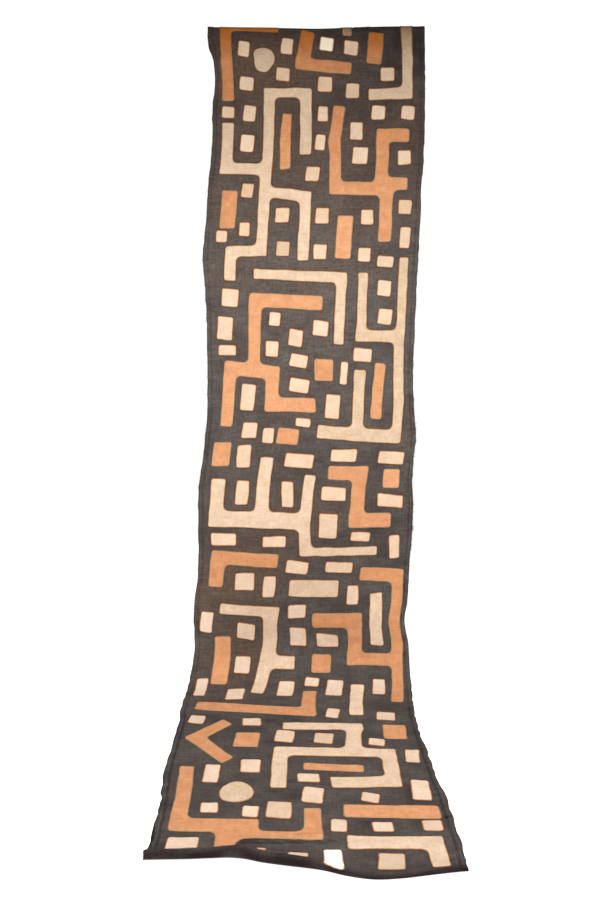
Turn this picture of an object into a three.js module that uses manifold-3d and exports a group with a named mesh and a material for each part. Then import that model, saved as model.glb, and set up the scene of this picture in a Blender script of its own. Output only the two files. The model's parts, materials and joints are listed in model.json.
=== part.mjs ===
// A long raffia cloth with sewn-on pieces. It hangs over a top edge, bends onto the floor, runs
// forward there and ends folded under itself. Millimetres, +Z up, +X to the right, -Y to the front.
// The origin is the middle of the top fold's crest.
// A place on the cloth is (u, v): u runs across from the left edge, v down from the crest.
import * as THREE from 'three';
import { mergeVertices } from 'three/addons/utils/BufferGeometryUtils.js';
import Module from 'manifold-3d';

const WIDTH = 620; // cloth width that the places in the chart are counted on
const CLOTH = 1.6; // thickness of the ground cloth
const PIECE = 1.0; // thickness of a sewn-on piece
const SEAT = 0.5; // clearance between the ground and a sewn-on piece
const DROP = 1886; // crest of the top fold to the floor
const FOLD_RADIUS = 7; // top fold, to the middle of the cloth
const TAIL = 85; // length that hangs behind the top fold
const FOOT_RADIUS = 110; // bend from the hang onto the floor
const LAYER_STEP = 2.6; // rise of the upper layer where it lies on the folded-under end
const UNDER_END = 230; // length that is folded under
const COLUMNS = 11; // ground facets across the cloth
const WELD = 0.01; // corners closer than this are one corner

const TOP_ARC = (FOLD_RADIUS * Math.PI) / 2;
const FLOOR = CLOTH / 2 - DROP;
const HANG_TOP = -CLOTH / 2 - FOLD_RADIUS;
const HANG_END = TOP_ARC + HANG_TOP - FLOOR - FOOT_RADIUS;
const FOOT_END = HANG_END + (FOOT_RADIUS * Math.PI) / 2;
const LAY_START = 2330; // here the floor run starts to fan out towards its slanted front fold
const FRONT_FOLD = 2640; // here the cloth turns under
const LAY_BEHIND = 60; // the roll starts this far behind the front line
const LAY_END = FRONT_FOLD - 80;
const LAY_OUT = FOLD_RADIUS + FOOT_RADIUS + LAY_START - FOOT_END;

const COLOURS = { ground: '#4a423d', tan: '#d6b78e', orange: '#cd8550', cream: '#ecd2b2' };

// Side edges: v, left x, right x
const EDGES = table([
  [-96, -299, 315],
  [0, -311, 316],
  [100, -303, 318],
  [187, -299, 317],
  [260, -300, 316],
  [333, -302, 315],
  [391, -306, 313],
  [449, -313, 308],
  [565, -321, 303],
  [682, -327, 297],
  [740, -324, 294],
  [857, -319, 288],
  [973, -315, 284],
  [1089, -316, 285],
  [1148, -317, 288],
  [1206, -325, 291],
  [1264, -332, 286],
  [1322, -340, 282],
  [1439, -343, 283],
  [1555, -342, 274],
  [1672, -354, 268],
  [1730, -356, 259],
  [1800, -351, 269],
  [1900, -357, 268],
  [2045, -364, 256],
  [2110, -356, 255],
  [2280, -357, 261],
  [2430, -347, 269],
  [2560, -344, 273],
  [2640, -348, 270],
  [2870, -344, 265],
]);

// Nicks of the left edge: v, how far the edge is drawn in
const NICKS = table([
  [-96, 0],
  [0, -4],
  [45, -5.5],
  [68, -5],
  [84, 0],
  [102, 4],
  [187, 4.5],
  [225, 0],
  [333, 0],
  [600, 0],
  [682, -2],
  [740, 0],
  [1206, 0],
  [1264, 3],
  [1322, 0],
  [2110, 0],
  [2191, -3.5],
  [2280, 1],
  [2357, -4],
  [2430, 2],
  [2500, 3],
  [2555, 9],
  [2620, 0],
]);
const NICK_REACH = 16; // the nicks die out over this width

// Front fold: u, distance of its foremost line from the hang, height of the roll
const FRONT = table([
  [0, 787, 11],
  [90, 785, 13],
  [130, 783, 14],
  [165, 782, 17],
  [195, 786, 22],
  [226, 791, 16],
  [272, 799, 15.5],
  [322, 808, 13],
  [350, 816, 8.5],
  [389, 827, 3],
  [440, 836, 1.5],
  [490, 834, 2],
  [550, 825, 3],
  [600, 818, 5],
  [620, 815, 3.5],
]);

// Section of the roll: length past the fold, distance behind the front line, share of the layer
// step, share of the roll's height
const ROLL = table([
  [-310, 290, 0, 0],
  [-262, 242, 1, 0],
  [-120, 100, 1, 0],
  [-80, LAY_BEHIND, 1, 0],
  [-48, 29, 1, 0.03],
  [-36, 20, 1, 0.55],
  [-24, 11, 1, 1],
  [-12, 4, 0.8, 0.8],
  [0, 0, 0.5, 0.38],
  [9, 5, 0.1, 0.08],
  [20, 15, 0, 0],
  [70, 65, 0, 0],
  [UNDER_END, UNDER_END - 5, 0, 0],
]);

// Soft waves of the hang: depth, length across, length down (negative leans the other way), phase
const WAVES = [
  [5, 520, 2600, 0.1],
  [2.5, 300, -2400, 0.45],
  [2, Infinity, 290, 0.2],
];
const WAVE_FADE = 180; // the waves die out over this length, below the tail and above the foot

// Facet rows of the ground: end of the stretch, number of rows up to it
const ROWS = [
  [-TOP_ARC, 3],
  [TOP_ARC, 6],
  [HANG_END, 26],
  [FOOT_END, 7],
  [LAY_START, 6],
  [FRONT_FOLD - 262, 1],
  [LAY_END, 4],
  [FRONT_FOLD - 48, 1],
  [FRONT_FOLD - 36, 1],
  [FRONT_FOLD - 24, 1],
  [FRONT_FOLD - 12, 1],
  [FRONT_FOLD, 1],
  [FRONT_FOLD + 9, 1],
  [FRONT_FOLD + 20, 1],
  [FRONT_FOLD + UNDER_END, 4],
];

// Chart of the sewn-on pieces that are large enough to be solids here. A strip is given by the
// two ends of its middle line and its width: fromU, fromV, toU, toV, width.
const STRIPS = {
  tan: {
    hook: [[567, -45, 568, 214, 32], [455, 199, 584, 195, 36]],
    stub: [[396, -15, 396, 30, 28]],
    lintel: [[420, -12, 465, -12, 36]],
    tree: [
      [147, 194, 288, 193, 30],
      [271, 180, 274, 374, 36],
      [164, 180, 166, 670, 34],
      [30, 415, 165, 415, 34],
      [45, 282, 46, 431, 36],
      [166, 480, 302, 497, 34],
      [286, 482, 287, 683, 34],
      [64, 656, 182, 653, 33],
      [80, 642, 73, 742, 36],
    ],
    corner: [[143, 720, 415, 732, 32], [401, 718, 393, 927, 32]],
    ladder: [
      [462, 717, 460, 917, 30],
      [443, 900, 590, 905, 36],
      [579, 672, 578, 917, 28],
      [575, 902, 575, 1092, 32],
      [576, 1082, 560, 1213, 32],
      [328, 1178, 571, 1197, 41],
      [459, 1000, 446, 1182, 36],
    ],
    comb: [
      [56, 1318, 51, 1447, 42],
      [29, 1433, 315, 1440, 49],
      [190, 1254, 183, 1427, 40],
      [322, 1305, 306, 1452, 34],
      [304, 1437, 313, 1540, 36],
      [300, 1529, 521, 1527, 27],
    ],
    plank: [[270, 1635, 415, 1637, 50]],
    crook: [
      [75, 1695, 250, 1705, 31],
      [229, 1695, 212, 1835, 43],
      [210, 1815, 192, 1955, 38],
      [205, 1845, 291, 1848, 38],
    ],
    post: [[525, 1650, 534, 1730, 38], [534, 1716, 528, 1801, 38]],
    slat: [[470, 1914, 466, 2073, 38]],
    maze: [
      [268, 2126, 477, 2131, 35],
      [455, 2115, 440, 2250, 42],
      [250, 2241, 545, 2251, 38],
      [267, 2225, 257, 2394, 38],
      [526, 2238, 517, 2390, 38],
      [375, 2371, 534, 2368, 46],
    ],
    angle: [[393, 2573, 588, 2573, 39], [568, 2556, 571, 2663, 38]],
  },
  orange: {
    hook: [[40, -4, 200, 0, 36], [49, -12, 42, 108, 32], [42, 98, 44, 219, 34]],
    elbow: [[285, 14, 259, 120, 38], [242, 107, 405, 123, 34]],
    bar_a: [[481, 22, 470, 109, 43]],
    bar_b: [[218, 254, 213, 338, 29], [213, 328, 219, 415, 31]],
    gate: [
      [371, 232, 357, 334, 34],
      [357, 322, 371, 488, 34],
      [353, 470, 540, 475, 38],
      [497, 300, 502, 482, 36],
      [480, 318, 575, 320, 38],
      [505, 459, 579, 459, 37],
      [518, 467, 520, 628, 37],
    ],
    bar_c: [[65, 479, 64, 589, 44]],
    bar_d: [[404, 552, 401, 676, 46]],
    crane: [
      [131, 795, 344, 807, 40],
      [146, 782, 138, 1002, 36],
      [52, 993, 216, 1011, 40],
      [69, 977, 57, 1165, 36],
      [197, 997, 191, 1119, 40],
      [172, 1101, 324, 1103, 40],
    ],
    tile_a: [[350, 969, 349, 1032, 56]],
    bar_e: [[521, 982, 503, 1142, 32]],
    tile_b: [[212, 1191, 275, 1196, 46]],
    tile_c: [[55, 1211, 55, 1280, 52]],
    step: [[372, 1299, 488, 1301, 40], [469, 1287, 454, 1446, 40], [434, 1438, 555, 1439, 41]],
    tile_d: [[558, 1290, 557, 1346, 48]],
    square: [[37, 1545, 232, 1557, 38], [57, 1532, 56, 1634, 42]],
    frame: [
      [475, 1595, 603, 1602, 38],
      [587, 1592, 589, 1724, 32],
      [590, 1712, 578, 2002, 32],
      [440, 1838, 585, 1840, 33],
      [473, 1727, 459, 1851, 40],
      [348, 1730, 493, 1729, 42],
    ],
    bar_f: [[81, 1776, 80, 1914, 46]],
    tile_e: [[367, 1826, 366, 1876, 54]],
    keel: [[38, 2022, 358, 2058, 42], [338, 1943, 341, 2074, 38]],
    chevron: [[126, 2105, 44, 2186, 36], [45, 2174, 140, 2280, 36]],
    tile_f: [[181, 2158, 179, 2223, 62]],
    tile_g: [[557, 2122, 553, 2187, 58]],
    bar_g: [[318, 2305, 458, 2315, 27]],
    wrench: [
      [49, 2305, 45, 2534, 34],
      [30, 2517, 213, 2521, 40],
      [134, 2550, 347, 2552, 26],
      [328, 2464, 326, 2564, 38],
      [152, 2529, 154, 2604, 46],
    ],
    bar_h: [[395, 2472, 597, 2479, 42]],
  },
  cream: {
    tile_a: [[58, 845, 51, 913, 47]],
    tile_b: [[125, 1042, 117, 1120, 43]],
    tile_c: [[378, 1071, 371, 1142, 44]],
    tile_d: [[241, 1261, 326, 1267, 42]],
    tile_e: [[373, 1248, 450, 1249, 37]],
    tile_f: [[513, 1254, 591, 1259, 38]],
    tile_g: [[355, 1358, 427, 1362, 40]],
    tile_h: [[517, 1379, 592, 1386, 39]],
    tile_i: [[376, 1417, 373, 1489, 54]],
    tile_j: [[36, 1494, 110, 1494, 37]],
    tile_k: [[372, 1573, 453, 1577, 33]],
    tile_l: [[139, 1591, 141, 1642, 58]],
    tile_m: [[303, 1750, 299, 1803, 49]],
    tile_n: [[272, 1902, 270, 1970, 46]],
    tile_o: [[408, 1898, 404, 1967, 47]],
    tile_p: [[134, 1931, 136, 1990, 50]],
    tile_q: [[577, 2362, 569, 2438, 42]],
    tile_r: [[108, 2297, 103, 2373, 37]],
    tile_s: [[259, 2442, 254, 2497, 55]],
  },
};

// Round pieces, cut by eye: u, v of the points along each outline
const ROUNDS = {
  tan: {
    round_a: [
      [128, 67],
      [154, 62],
      [174, 70],
      [186, 88],
      [177, 108],
      [169, 126],
      [148, 136],
      [131, 129],
      [122, 99],
      [121, 82],
    ],
    round_b: [
      [125, 2398],
      [144, 2377],
      [166, 2362],
      [184, 2363],
      [197, 2375],
      [205, 2405],
      [198, 2428],
      [182, 2438],
      [166, 2444],
      [145, 2440],
      [130, 2428],
    ],
  },
};

function table(rows) {
  const places = rows.map((row) => row[0]);
  const values = rows.flatMap((row) => row.slice(1));
  return new THREE.CubicInterpolant(places, values, rows[0].length - 1);
}

// How far out to the front, and how high, the middle of the cloth runs
function course(u, v) {
  if (v < -TOP_ARC) return [-FOLD_RADIUS, HANG_TOP + v + TOP_ARC];
  if (v < TOP_ARC) {
    const turn = v / FOLD_RADIUS;
    return [FOLD_RADIUS * Math.sin(turn), HANG_TOP + FOLD_RADIUS * Math.cos(turn)];
  }
  if (v < HANG_END) return [FOLD_RADIUS + wave(u, v), HANG_TOP + TOP_ARC - v];
  if (v < FOOT_END) {
    const turn = (v - HANG_END) / FOOT_RADIUS;
    const out = FOLD_RADIUS + FOOT_RADIUS * (1 - Math.cos(turn));
    return [out, FLOOR + FOOT_RADIUS * (1 - Math.sin(turn))];
  }
  if (v < LAY_START) return [FOLD_RADIUS + FOOT_RADIUS + v - FOOT_END, FLOOR];
  const [reach, height] = FRONT.evaluate(u);
  const [behind, step, share] = ROLL.evaluate(v - FRONT_FOLD);
  const rise = Math.max(step, 0) * LAYER_STEP + Math.max(share, 0) * height;
  if (v > LAY_END) return [reach - behind, FLOOR + rise];
  const along = (v - LAY_START) / (LAY_END - LAY_START);
  return [THREE.MathUtils.lerp(LAY_OUT, reach - LAY_BEHIND, along), FLOOR + rise];
}

function wave(u, v) {
  const fromTop = THREE.MathUtils.smoothstep(v, TAIL, TAIL + WAVE_FADE);
  const fromFoot = THREE.MathUtils.smoothstep(HANG_END - v, 0, WAVE_FADE);
  const depth = ([size, across, down, phase]) =>
    size * Math.sin(2 * Math.PI * (u / across + v / down + phase));
  return fromTop * fromFoot * WAVES.reduce((sum, row) => sum + depth(row), 0);
}

function middle(u, v) {
  const [left, right] = EDGES.evaluate(v);
  const [nick] = NICKS.evaluate(v);
  const [out, z] = course(u, v);
  const x = THREE.MathUtils.lerp(left, right, u / WIDTH) + nick * Math.exp(-u / NICK_REACH);
  return new THREE.Vector3(x, -out, z);
}

// A point of the cloth, lifted off its middle towards the face that shows
function drape(u, v, lift) {
  const span = 0.5;
  const across = middle(u + span, v).sub(middle(u - span, v));
  const down = middle(u, v + span).sub(middle(u, v - span));
  return middle(u, v).addScaledVector(down.cross(across).normalize(), lift);
}

// The chart counts v as if the floor run were even. This gives the ground row that lies there.
function groundRow(u, v) {
  if (v <= LAY_START) return v;
  const [reach] = FRONT.evaluate(u);
  return LAY_START + ((v - LAY_START) * (LAY_END - LAY_START)) / (reach - LAY_BEHIND - LAY_OUT);
}

const us = Array.from({ length: COLUMNS + 1 }, (_, i) => (WIDTH * i) / COLUMNS);
const vs = [-TOP_ARC - TAIL];
for (const [end, count] of ROWS) {
  const start = vs.at(-1);
  for (let i = 1; i <= count; i += 1) vs.push(start + ((end - start) * i) / count);
}

// A closed sheet from flat triangles: an upper and a lower skin, and a wall along each open edge
function sheet(upper, lower, triangles) {
  const size = upper.length;
  const faces = [];
  const edges = new Set(triangles.flatMap(([a, b, c]) => [`${a} ${b}`, `${b} ${c}`, `${c} ${a}`]));
  for (const [a, b, c] of triangles) {
    faces.push(a, b, c, c + size, b + size, a + size);
    for (const [p, q] of [[a, b], [b, c], [c, a]]) {
      if (!edges.has(`${q} ${p}`)) faces.push(p, p + size, q + size, p, q + size, q);
    }
  }
  const geometry = new THREE.BufferGeometry().setFromPoints([...upper, ...lower]);
  geometry.setIndex(faces);
  geometry.computeVertexNormals();
  return geometry;
}

const rowStart = (j) => j * us.length;
const places = vs.flatMap((v) => us.map((u) => [u, v]));
const facets = [];
for (let j = 0; j + 1 < vs.length; j += 1) {
  for (let i = 0; i + 1 < us.length; i += 1) {
    const a = rowStart(j) + i;
    const b = rowStart(j + 1) + i;
    facets.push([a, b, b + 1], [a, b + 1, a + 1]);
  }
}

function groundCloth() {
  const skin = (lift) => places.map(([u, v]) => drape(u, v, lift));
  return sheet(skin(CLOTH / 2), skin(-CLOTH / 2), facets);
}

function strip([fromU, fromV, toU, toV, width]) {
  const run = new THREE.Vector2(toU - fromU, toV - fromV).setLength(width / 2);
  const corner = (u, v, side) => {
    const cornerU = u - side * run.y;
    return new THREE.Vector2(cornerU, groundRow(cornerU, v + side * run.x));
  };
  return [corner(fromU, fromV, -1), corner(toU, toV, -1), corner(toU, toV, 1), corner(fromU, fromV, 1)];
}

function round(points) {
  return points.map(([u, v]) => new THREE.Vector2(u, groundRow(u, v)));
}

const wasm = await Module();
wasm.setup();

function solid(points, depth, rise) {
  const slab = new THREE.ExtrudeGeometry(new THREE.Shape(points), { depth, bevelEnabled: false });
  slab.translate(0, 0, rise);
  slab.deleteAttribute('normal');
  slab.deleteAttribute('uv');
  const merged = mergeVertices(slab);
  const vertProperties = new Float32Array(merged.attributes.position.array);
  const triVerts = new Uint32Array(merged.index.array);
  return new wasm.Manifold(new wasm.Mesh({ numProp: 3, vertProperties, triVerts }));
}

// Flat column over a ground facet, which cuts a flat outline where the cloth bends
const columns = facets.map((facet) => solid(facet.map((id) => new THREE.Vector2(...places[id])), 3, -1));

function cutByFacet(flat, column) {
  const cut = flat.intersect(column).getMesh();
  const corner = (i) => Array.from(cut.vertProperties.slice(3 * i, 3 * i + 3));
  const triangles = [];
  for (let i = 0; i < cut.triVerts.length; i += 3) {
    const corners = Array.from(cut.triVerts.slice(i, i + 3), corner);
    if (corners.every(([, , rise]) => rise > 0.5)) triangles.push(corners);
  }
  return triangles;
}

const turn = ([ax, ay], [bx, by], [cx, cy]) => (bx - ax) * (cy - ay) - (by - ay) * (cx - ax);

// A sewn-on piece lies on the ground's own facets, so it keeps its clearance on every bend
function sewnPiece(outlines) {
  const flat = outlines.map((points) => solid(points, 1, 0)).reduce((all, next) => all.add(next));
  const found = [];
  const upper = [];
  const lower = [];
  const pointId = ([u, v], facet) => {
    const known = found.findIndex((p) => Math.hypot(p[0] - u, p[1] - v) < WELD);
    if (known >= 0) return known;
    const corners = facet.map((id) => places[id]);
    const share = (k) => turn([u, v], corners[(k + 1) % 3], corners[(k + 2) % 3]) / turn(...corners);
    const onFacet = (lift) => facet.reduce(
      (at, id, k) => at.addScaledVector(drape(...places[id], CLOTH / 2 + lift), share(k)),
      new THREE.Vector3(),
    );
    upper.push(onFacet(SEAT + PIECE));
    lower.push(onFacet(SEAT));
    return found.push([u, v]) - 1;
  };
  const triangles = facets.flatMap((facet, i) => cutByFacet(flat, columns[i])
    .map((corners) => corners.map((corner) => pointId(corner, facet)).reverse())
    .filter(([a, b, c]) => a !== b && b !== c && c !== a));
  return sheet(upper, lower, triangles);
}

const cloth = new THREE.Group();

function add(name, geometry, colour) {
  const material = new THREE.MeshStandardMaterial({ color: colour, roughness: 0.95, metalness: 0 });
  const mesh = new THREE.Mesh(geometry, material);
  mesh.name = name;
  cloth.add(mesh);
}

add('raffia_ground', groundCloth(), COLOURS.ground);
for (const [colour, pieces] of Object.entries(STRIPS)) {
  for (const [name, strips] of Object.entries(pieces)) {
    add(`${colour}_${name}`, sewnPiece(strips.map(strip)), COLOURS[colour]);
  }
}
for (const [colour, pieces] of Object.entries(ROUNDS)) {
  for (const [name, points] of Object.entries(pieces)) {
    add(`${colour}_${name}`, sewnPiece([round(points)]), COLOURS[colour]);
  }
}

export default cloth;
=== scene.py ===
# %% [markdown]
# # A raffia cloth with sewn-on pieces
# The object is one long hand-woven raffia cloth, dyed nearly black, with some 145 pieces of tan,
# orange, cream and white raffia sewn onto its face. It hangs over a top edge, bends onto the floor
# and ends folded under itself. The lesson lays a fine sheet on the folds of the fixed frame, cuts
# the pieces from a chart, sews them on with real stitches and lights the whole in a white studio.

# %% Load the frame
import itertools
import json
import math
from collections import defaultdict

import bpy
import numpy as np
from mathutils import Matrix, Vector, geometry

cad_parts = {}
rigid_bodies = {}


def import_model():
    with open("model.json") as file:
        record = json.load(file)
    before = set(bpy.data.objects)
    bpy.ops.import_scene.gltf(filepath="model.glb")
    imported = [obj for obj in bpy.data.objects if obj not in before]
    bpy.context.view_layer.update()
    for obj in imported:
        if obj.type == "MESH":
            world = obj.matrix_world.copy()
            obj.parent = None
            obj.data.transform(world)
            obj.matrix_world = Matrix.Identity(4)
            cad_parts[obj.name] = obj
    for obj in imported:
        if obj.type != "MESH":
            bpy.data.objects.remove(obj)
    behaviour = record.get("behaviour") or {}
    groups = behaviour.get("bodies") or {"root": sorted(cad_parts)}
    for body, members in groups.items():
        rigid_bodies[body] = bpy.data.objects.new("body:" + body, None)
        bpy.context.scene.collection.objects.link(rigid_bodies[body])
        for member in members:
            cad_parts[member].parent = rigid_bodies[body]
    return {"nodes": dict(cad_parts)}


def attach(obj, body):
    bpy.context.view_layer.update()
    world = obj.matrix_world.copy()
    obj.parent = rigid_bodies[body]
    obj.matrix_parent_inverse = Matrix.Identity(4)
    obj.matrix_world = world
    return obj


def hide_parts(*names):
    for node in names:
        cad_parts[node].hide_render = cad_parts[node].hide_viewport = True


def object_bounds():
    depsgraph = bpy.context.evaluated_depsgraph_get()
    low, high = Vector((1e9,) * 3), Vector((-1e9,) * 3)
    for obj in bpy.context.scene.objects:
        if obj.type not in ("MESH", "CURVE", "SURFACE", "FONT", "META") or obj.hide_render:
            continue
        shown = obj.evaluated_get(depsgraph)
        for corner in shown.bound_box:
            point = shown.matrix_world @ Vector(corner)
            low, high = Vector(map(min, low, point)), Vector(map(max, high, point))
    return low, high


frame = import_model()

CAD_BOX = [[round(x, 5) for x in corner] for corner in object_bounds()]
print("frame:", len(frame["nodes"]), "solids in the box", CAD_BOX)

# %% [markdown]
# ## The camera
# The hang keeps its width all the way down the picture, so the camera looks level at it and its
# lens is shifted down instead of tilted. Blender's cameras have that shift as a share of the
# picture's longer side, so it comes straight from the height of the horizon in the picture. A
# place read off a picture counts from the middle of its first pixel, hence the odd half pixels.

# %% Set the camera
PICTURE_HEIGHT = 900  # pixels; the picture is 600 wide
FOCAL_PIXELS = 788
HORIZON = (-0.5, 137.5)  # pixels to the left of the picture's middle and above it
SENSOR = 36  # mm on the longer side
CAMERA_PLACE = (-0.0451, -2.301, -0.830)  # metres from the middle of the top fold

camera_data = bpy.data.cameras.new("camera")
camera_data.sensor_width = SENSOR
camera_data.lens = SENSOR * FOCAL_PIXELS / PICTURE_HEIGHT
camera_data.shift_x = HORIZON[0] / PICTURE_HEIGHT
camera_data.shift_y = -HORIZON[1] / PICTURE_HEIGHT
camera = bpy.data.objects.new("camera", camera_data)
camera.location = CAMERA_PLACE
camera.rotation_euler = (math.radians(90), 0, 0)
bpy.context.scene.collection.objects.link(camera)
bpy.context.scene.camera = camera
print("camera lens", round(camera_data.lens, 2), "mm")

# %% [markdown]
# ## The way the cloth falls
# A place on the cloth is (u, v) in millimetres: u runs across from the left edge, v down from the
# crest of the top fold. One function gives the point in space for each place, so that the ground,
# the pieces and the stitches all lie on the same folds. A cloth simulation could drape it as well,
# but it would settle into folds of its own, and these are the ones that the real cloth lies in.

# %% Sizes of the drape
MM = 0.001
WIDTH = 620  # cloth width that the places are counted on
CLOTH = 1.6  # thickness of the ground cloth
DROP = 1886  # crest of the top fold to the floor
FOLD_RADIUS = 7
TAIL = 85  # length that hangs behind the top fold
FOOT_RADIUS = 110  # bend from the hang onto the floor
LAYER_STEP = 2.6  # rise of the upper layer where it lies on the folded-under end
UNDER_END = 230  # length that is folded under
LAY_START = 2330  # here the floor run starts to fan out towards its slanted front fold
FRONT_FOLD = 2640  # here the cloth turns under
LAY_BEHIND = 60  # the roll starts this far behind the front line
LAY_END = FRONT_FOLD - 80

TOP_ARC = FOLD_RADIUS * math.pi / 2
FLOOR = CLOTH / 2 - DROP
HANG_TOP = -CLOTH / 2 - FOLD_RADIUS
HANG_END = TOP_ARC + HANG_TOP - FLOOR - FOOT_RADIUS
FOOT_END = HANG_END + FOOT_RADIUS * math.pi / 2
LAY_OUT = FOLD_RADIUS + FOOT_RADIUS + LAY_START - FOOT_END
print("the hang ends at", round(HANG_END), "mm and the foot at", round(FOOT_END), "mm")


# %% A curve through rows
def table(*rows):
    """A smooth curve through rows of a place and its values, level with its end rows outside."""
    rows = np.array(rows, float)
    places, values = rows[:, 0], rows[:, 1:]
    chords = np.diff(values, axis=0) / np.diff(places)[:, None]
    slopes = np.vstack([chords[:1], (chords[:-1] + chords[1:]) / 2, chords[-1:]])

    def read(place):
        place = np.clip(np.asarray(place, float), places[0], places[-1])
        k = np.clip(np.searchsorted(places, place, side="right") - 1, 0, len(places) - 2)
        span = (places[k + 1] - places[k])[..., None]
        t = (place - places[k])[..., None] / span
        ends = (2 * t**3 - 3 * t**2) * (values[k] - values[k + 1]) + values[k]
        bends = (t**3 - 2 * t**2 + t) * slopes[k] + (t**3 - t**2) * slopes[k + 1]
        return np.moveaxis(ends + bends * span, -1, 0)

    return read


print("halfway between two rows:", table((0, 0), (10, 4))(5))

# %% Tables of the drape
# Side edges: v, left x, right x
EDGES = table(
    (-96, -299, 315), (0, -311, 316), (100, -303, 318), (187, -299, 317), (260, -300, 316),
    (333, -302, 315), (391, -306, 313), (449, -313, 308), (565, -321, 303), (682, -327, 297),
    (740, -324, 294), (857, -319, 288), (973, -315, 284), (1089, -316, 285), (1148, -317, 288),
    (1206, -325, 291), (1264, -332, 286), (1322, -340, 282), (1439, -343, 283), (1555, -342, 274),
    (1672, -354, 268), (1730, -356, 259), (1800, -351, 269), (1900, -357, 268), (2045, -364, 256),
    (2110, -356, 255), (2280, -357, 261), (2430, -347, 269), (2560, -344, 273), (2640, -348, 270),
    (2870, -344, 265),
)
# Nicks of the left edge: v, how far the edge is drawn in
NICKS = table(
    (-96, 0), (0, -4), (45, -5.5), (68, -5), (84, 0), (102, 4), (187, 4.5), (225, 0), (333, 0),
    (600, 0), (682, -2), (740, 0), (1206, 0), (1264, 3), (1322, 0), (1720, 0), (1800, -2),
    (1880, -4), (1960, -2), (2045, 0), (2110, 0), (2191, -3.5), (2280, 1), (2357, -4), (2430, 2),
    (2500, 3), (2555, 9), (2620, 0),
)
NICK_REACH = 16  # the nicks die out over this width
# Front fold: u, distance of its foremost line from the hang, height of the roll
FRONT = table(
    (0, 787, 11), (90, 785, 13), (130, 783, 14), (165, 782, 17), (195, 786, 22), (226, 794, 16),
    (272, 803, 15.5), (322, 811, 13), (350, 816, 8.5), (389, 827, 3), (440, 836, 1.5),
    (490, 834, 2), (550, 825, 3), (600, 818, 5), (620, 815, 3.5),
)
# Section of the roll: length past the fold, distance behind the front line, share of the layer
# step, share of the roll's height
ROLL = table(
    (-310, 290, 0, 0), (-262, 242, 1, 0), (-120, 100, 1, 0), (-80, LAY_BEHIND, 1, 0),
    (-48, 29, 1, 0.03), (-36, 20, 1, 0.55), (-24, 11, 1, 1), (-12, 4, 0.8, 0.8),
    (0, 0, 0.5, 0.38), (9, 5, 0.1, 0.08), (20, 15, 0, 0), (70, 65, 0, 0),
    (UNDER_END, UNDER_END - 5, 0, 0),
)
# Crest of the top fold, which sags a little between the places that hold it: u, rise
CREST = table(
    (0, 3.5), (66, 2), (157, 1), (250, -0.5), (295, -1.5), (340, -1), (386, 1), (431, 2), (477, 4),
    (523, 5), (620, 5),
)
CREST_FADE = 120  # the sag dies out this far down
# Soft waves of the hang: depth, length across, length down, phase
WAVES = ((5, 520, 2600, 0.1), (2.5, 300, -2400, 0.45), (2, math.inf, 290, 0.2))
WAVE_FADE = 180  # the waves die out over this length, below the tail and above the foot
print("cloth width at the floor:", np.diff(EDGES(FOOT_END)[:, None], axis=0).ravel())


# %% Course of the cloth
def smoothstep(x, low, high):
    """From 0 to 1 between two places, level at both."""
    t = np.clip((x - low) / (high - low), 0, 1)
    return t * t * (3 - 2 * t)


def wave(u, v):
    """How far the soft waves of the hang carry it to the front."""
    held = smoothstep(v, TAIL, TAIL + WAVE_FADE) * smoothstep(HANG_END - v, 0, WAVE_FADE)
    swing = 0
    for depth, across, down, phase in WAVES:
        swing = swing + depth * np.sin(2 * np.pi * (u / across + v / down + phase))
    return held * swing


def course(u, v):
    """How far out to the front, and how high, the middle of the cloth runs."""
    reach, height = FRONT(u)
    behind, step, share = ROLL(v - FRONT_FOLD)
    turn = v / FOLD_RADIUS
    foot = (v - HANG_END) / FOOT_RADIUS
    along = (v - LAY_START) / (LAY_END - LAY_START)
    rise = np.maximum(step, 0) * LAYER_STEP + np.maximum(share, 0) * height
    stretches = [v < -TOP_ARC, v < TOP_ARC, v < HANG_END, v < FOOT_END, v < LAY_START, v <= LAY_END]
    outs = [
        -FOLD_RADIUS,
        FOLD_RADIUS * np.sin(turn),
        FOLD_RADIUS + wave(u, v),
        FOLD_RADIUS + FOOT_RADIUS * (1 - np.cos(foot)),
        FOLD_RADIUS + FOOT_RADIUS + v - FOOT_END,
        LAY_OUT + (reach - LAY_BEHIND - LAY_OUT) * along,
    ]
    heights = [
        HANG_TOP + v + TOP_ARC,
        HANG_TOP + FOLD_RADIUS * np.cos(turn),
        HANG_TOP + TOP_ARC - v,
        FLOOR + FOOT_RADIUS * (1 - np.sin(foot)),
    ]
    out = np.select(stretches, outs, reach - behind)
    return out, np.select(stretches[:len(heights)], heights, FLOOR + rise)


def ground_row(u, v):
    """The chart of pieces counts v as if the floor run were even. This gives the row that lies there."""
    reach, _ = FRONT(u)
    stretched = LAY_START + (v - LAY_START) * (LAY_END - LAY_START) / (reach - LAY_BEHIND - LAY_OUT)
    return np.where(v <= LAY_START, v, stretched)


print("the foot ends", course(WIDTH / 2, np.array(FOOT_END))[0].round(1), "mm in front of the crest")

# %% [markdown]
# ## Unevenness
# Hand-woven raffia is never flat: the hems pucker, the edges wander, and storage folds leave lines.
# A repeatable lattice of random heights, smoothed between its points, gives the small unevenness.
# The creases that one can point at are rows in a table, each a soft ridge or trough. Displacing a
# subdivided mesh by a texture would do it too, but then the pieces would not follow the ground.

# %% Smooth random heights
LATTICE = 257  # points along each side of the lattice, after which it repeats
LATTICE_START = 64  # steps of the lattice before the cloth's corner


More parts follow.
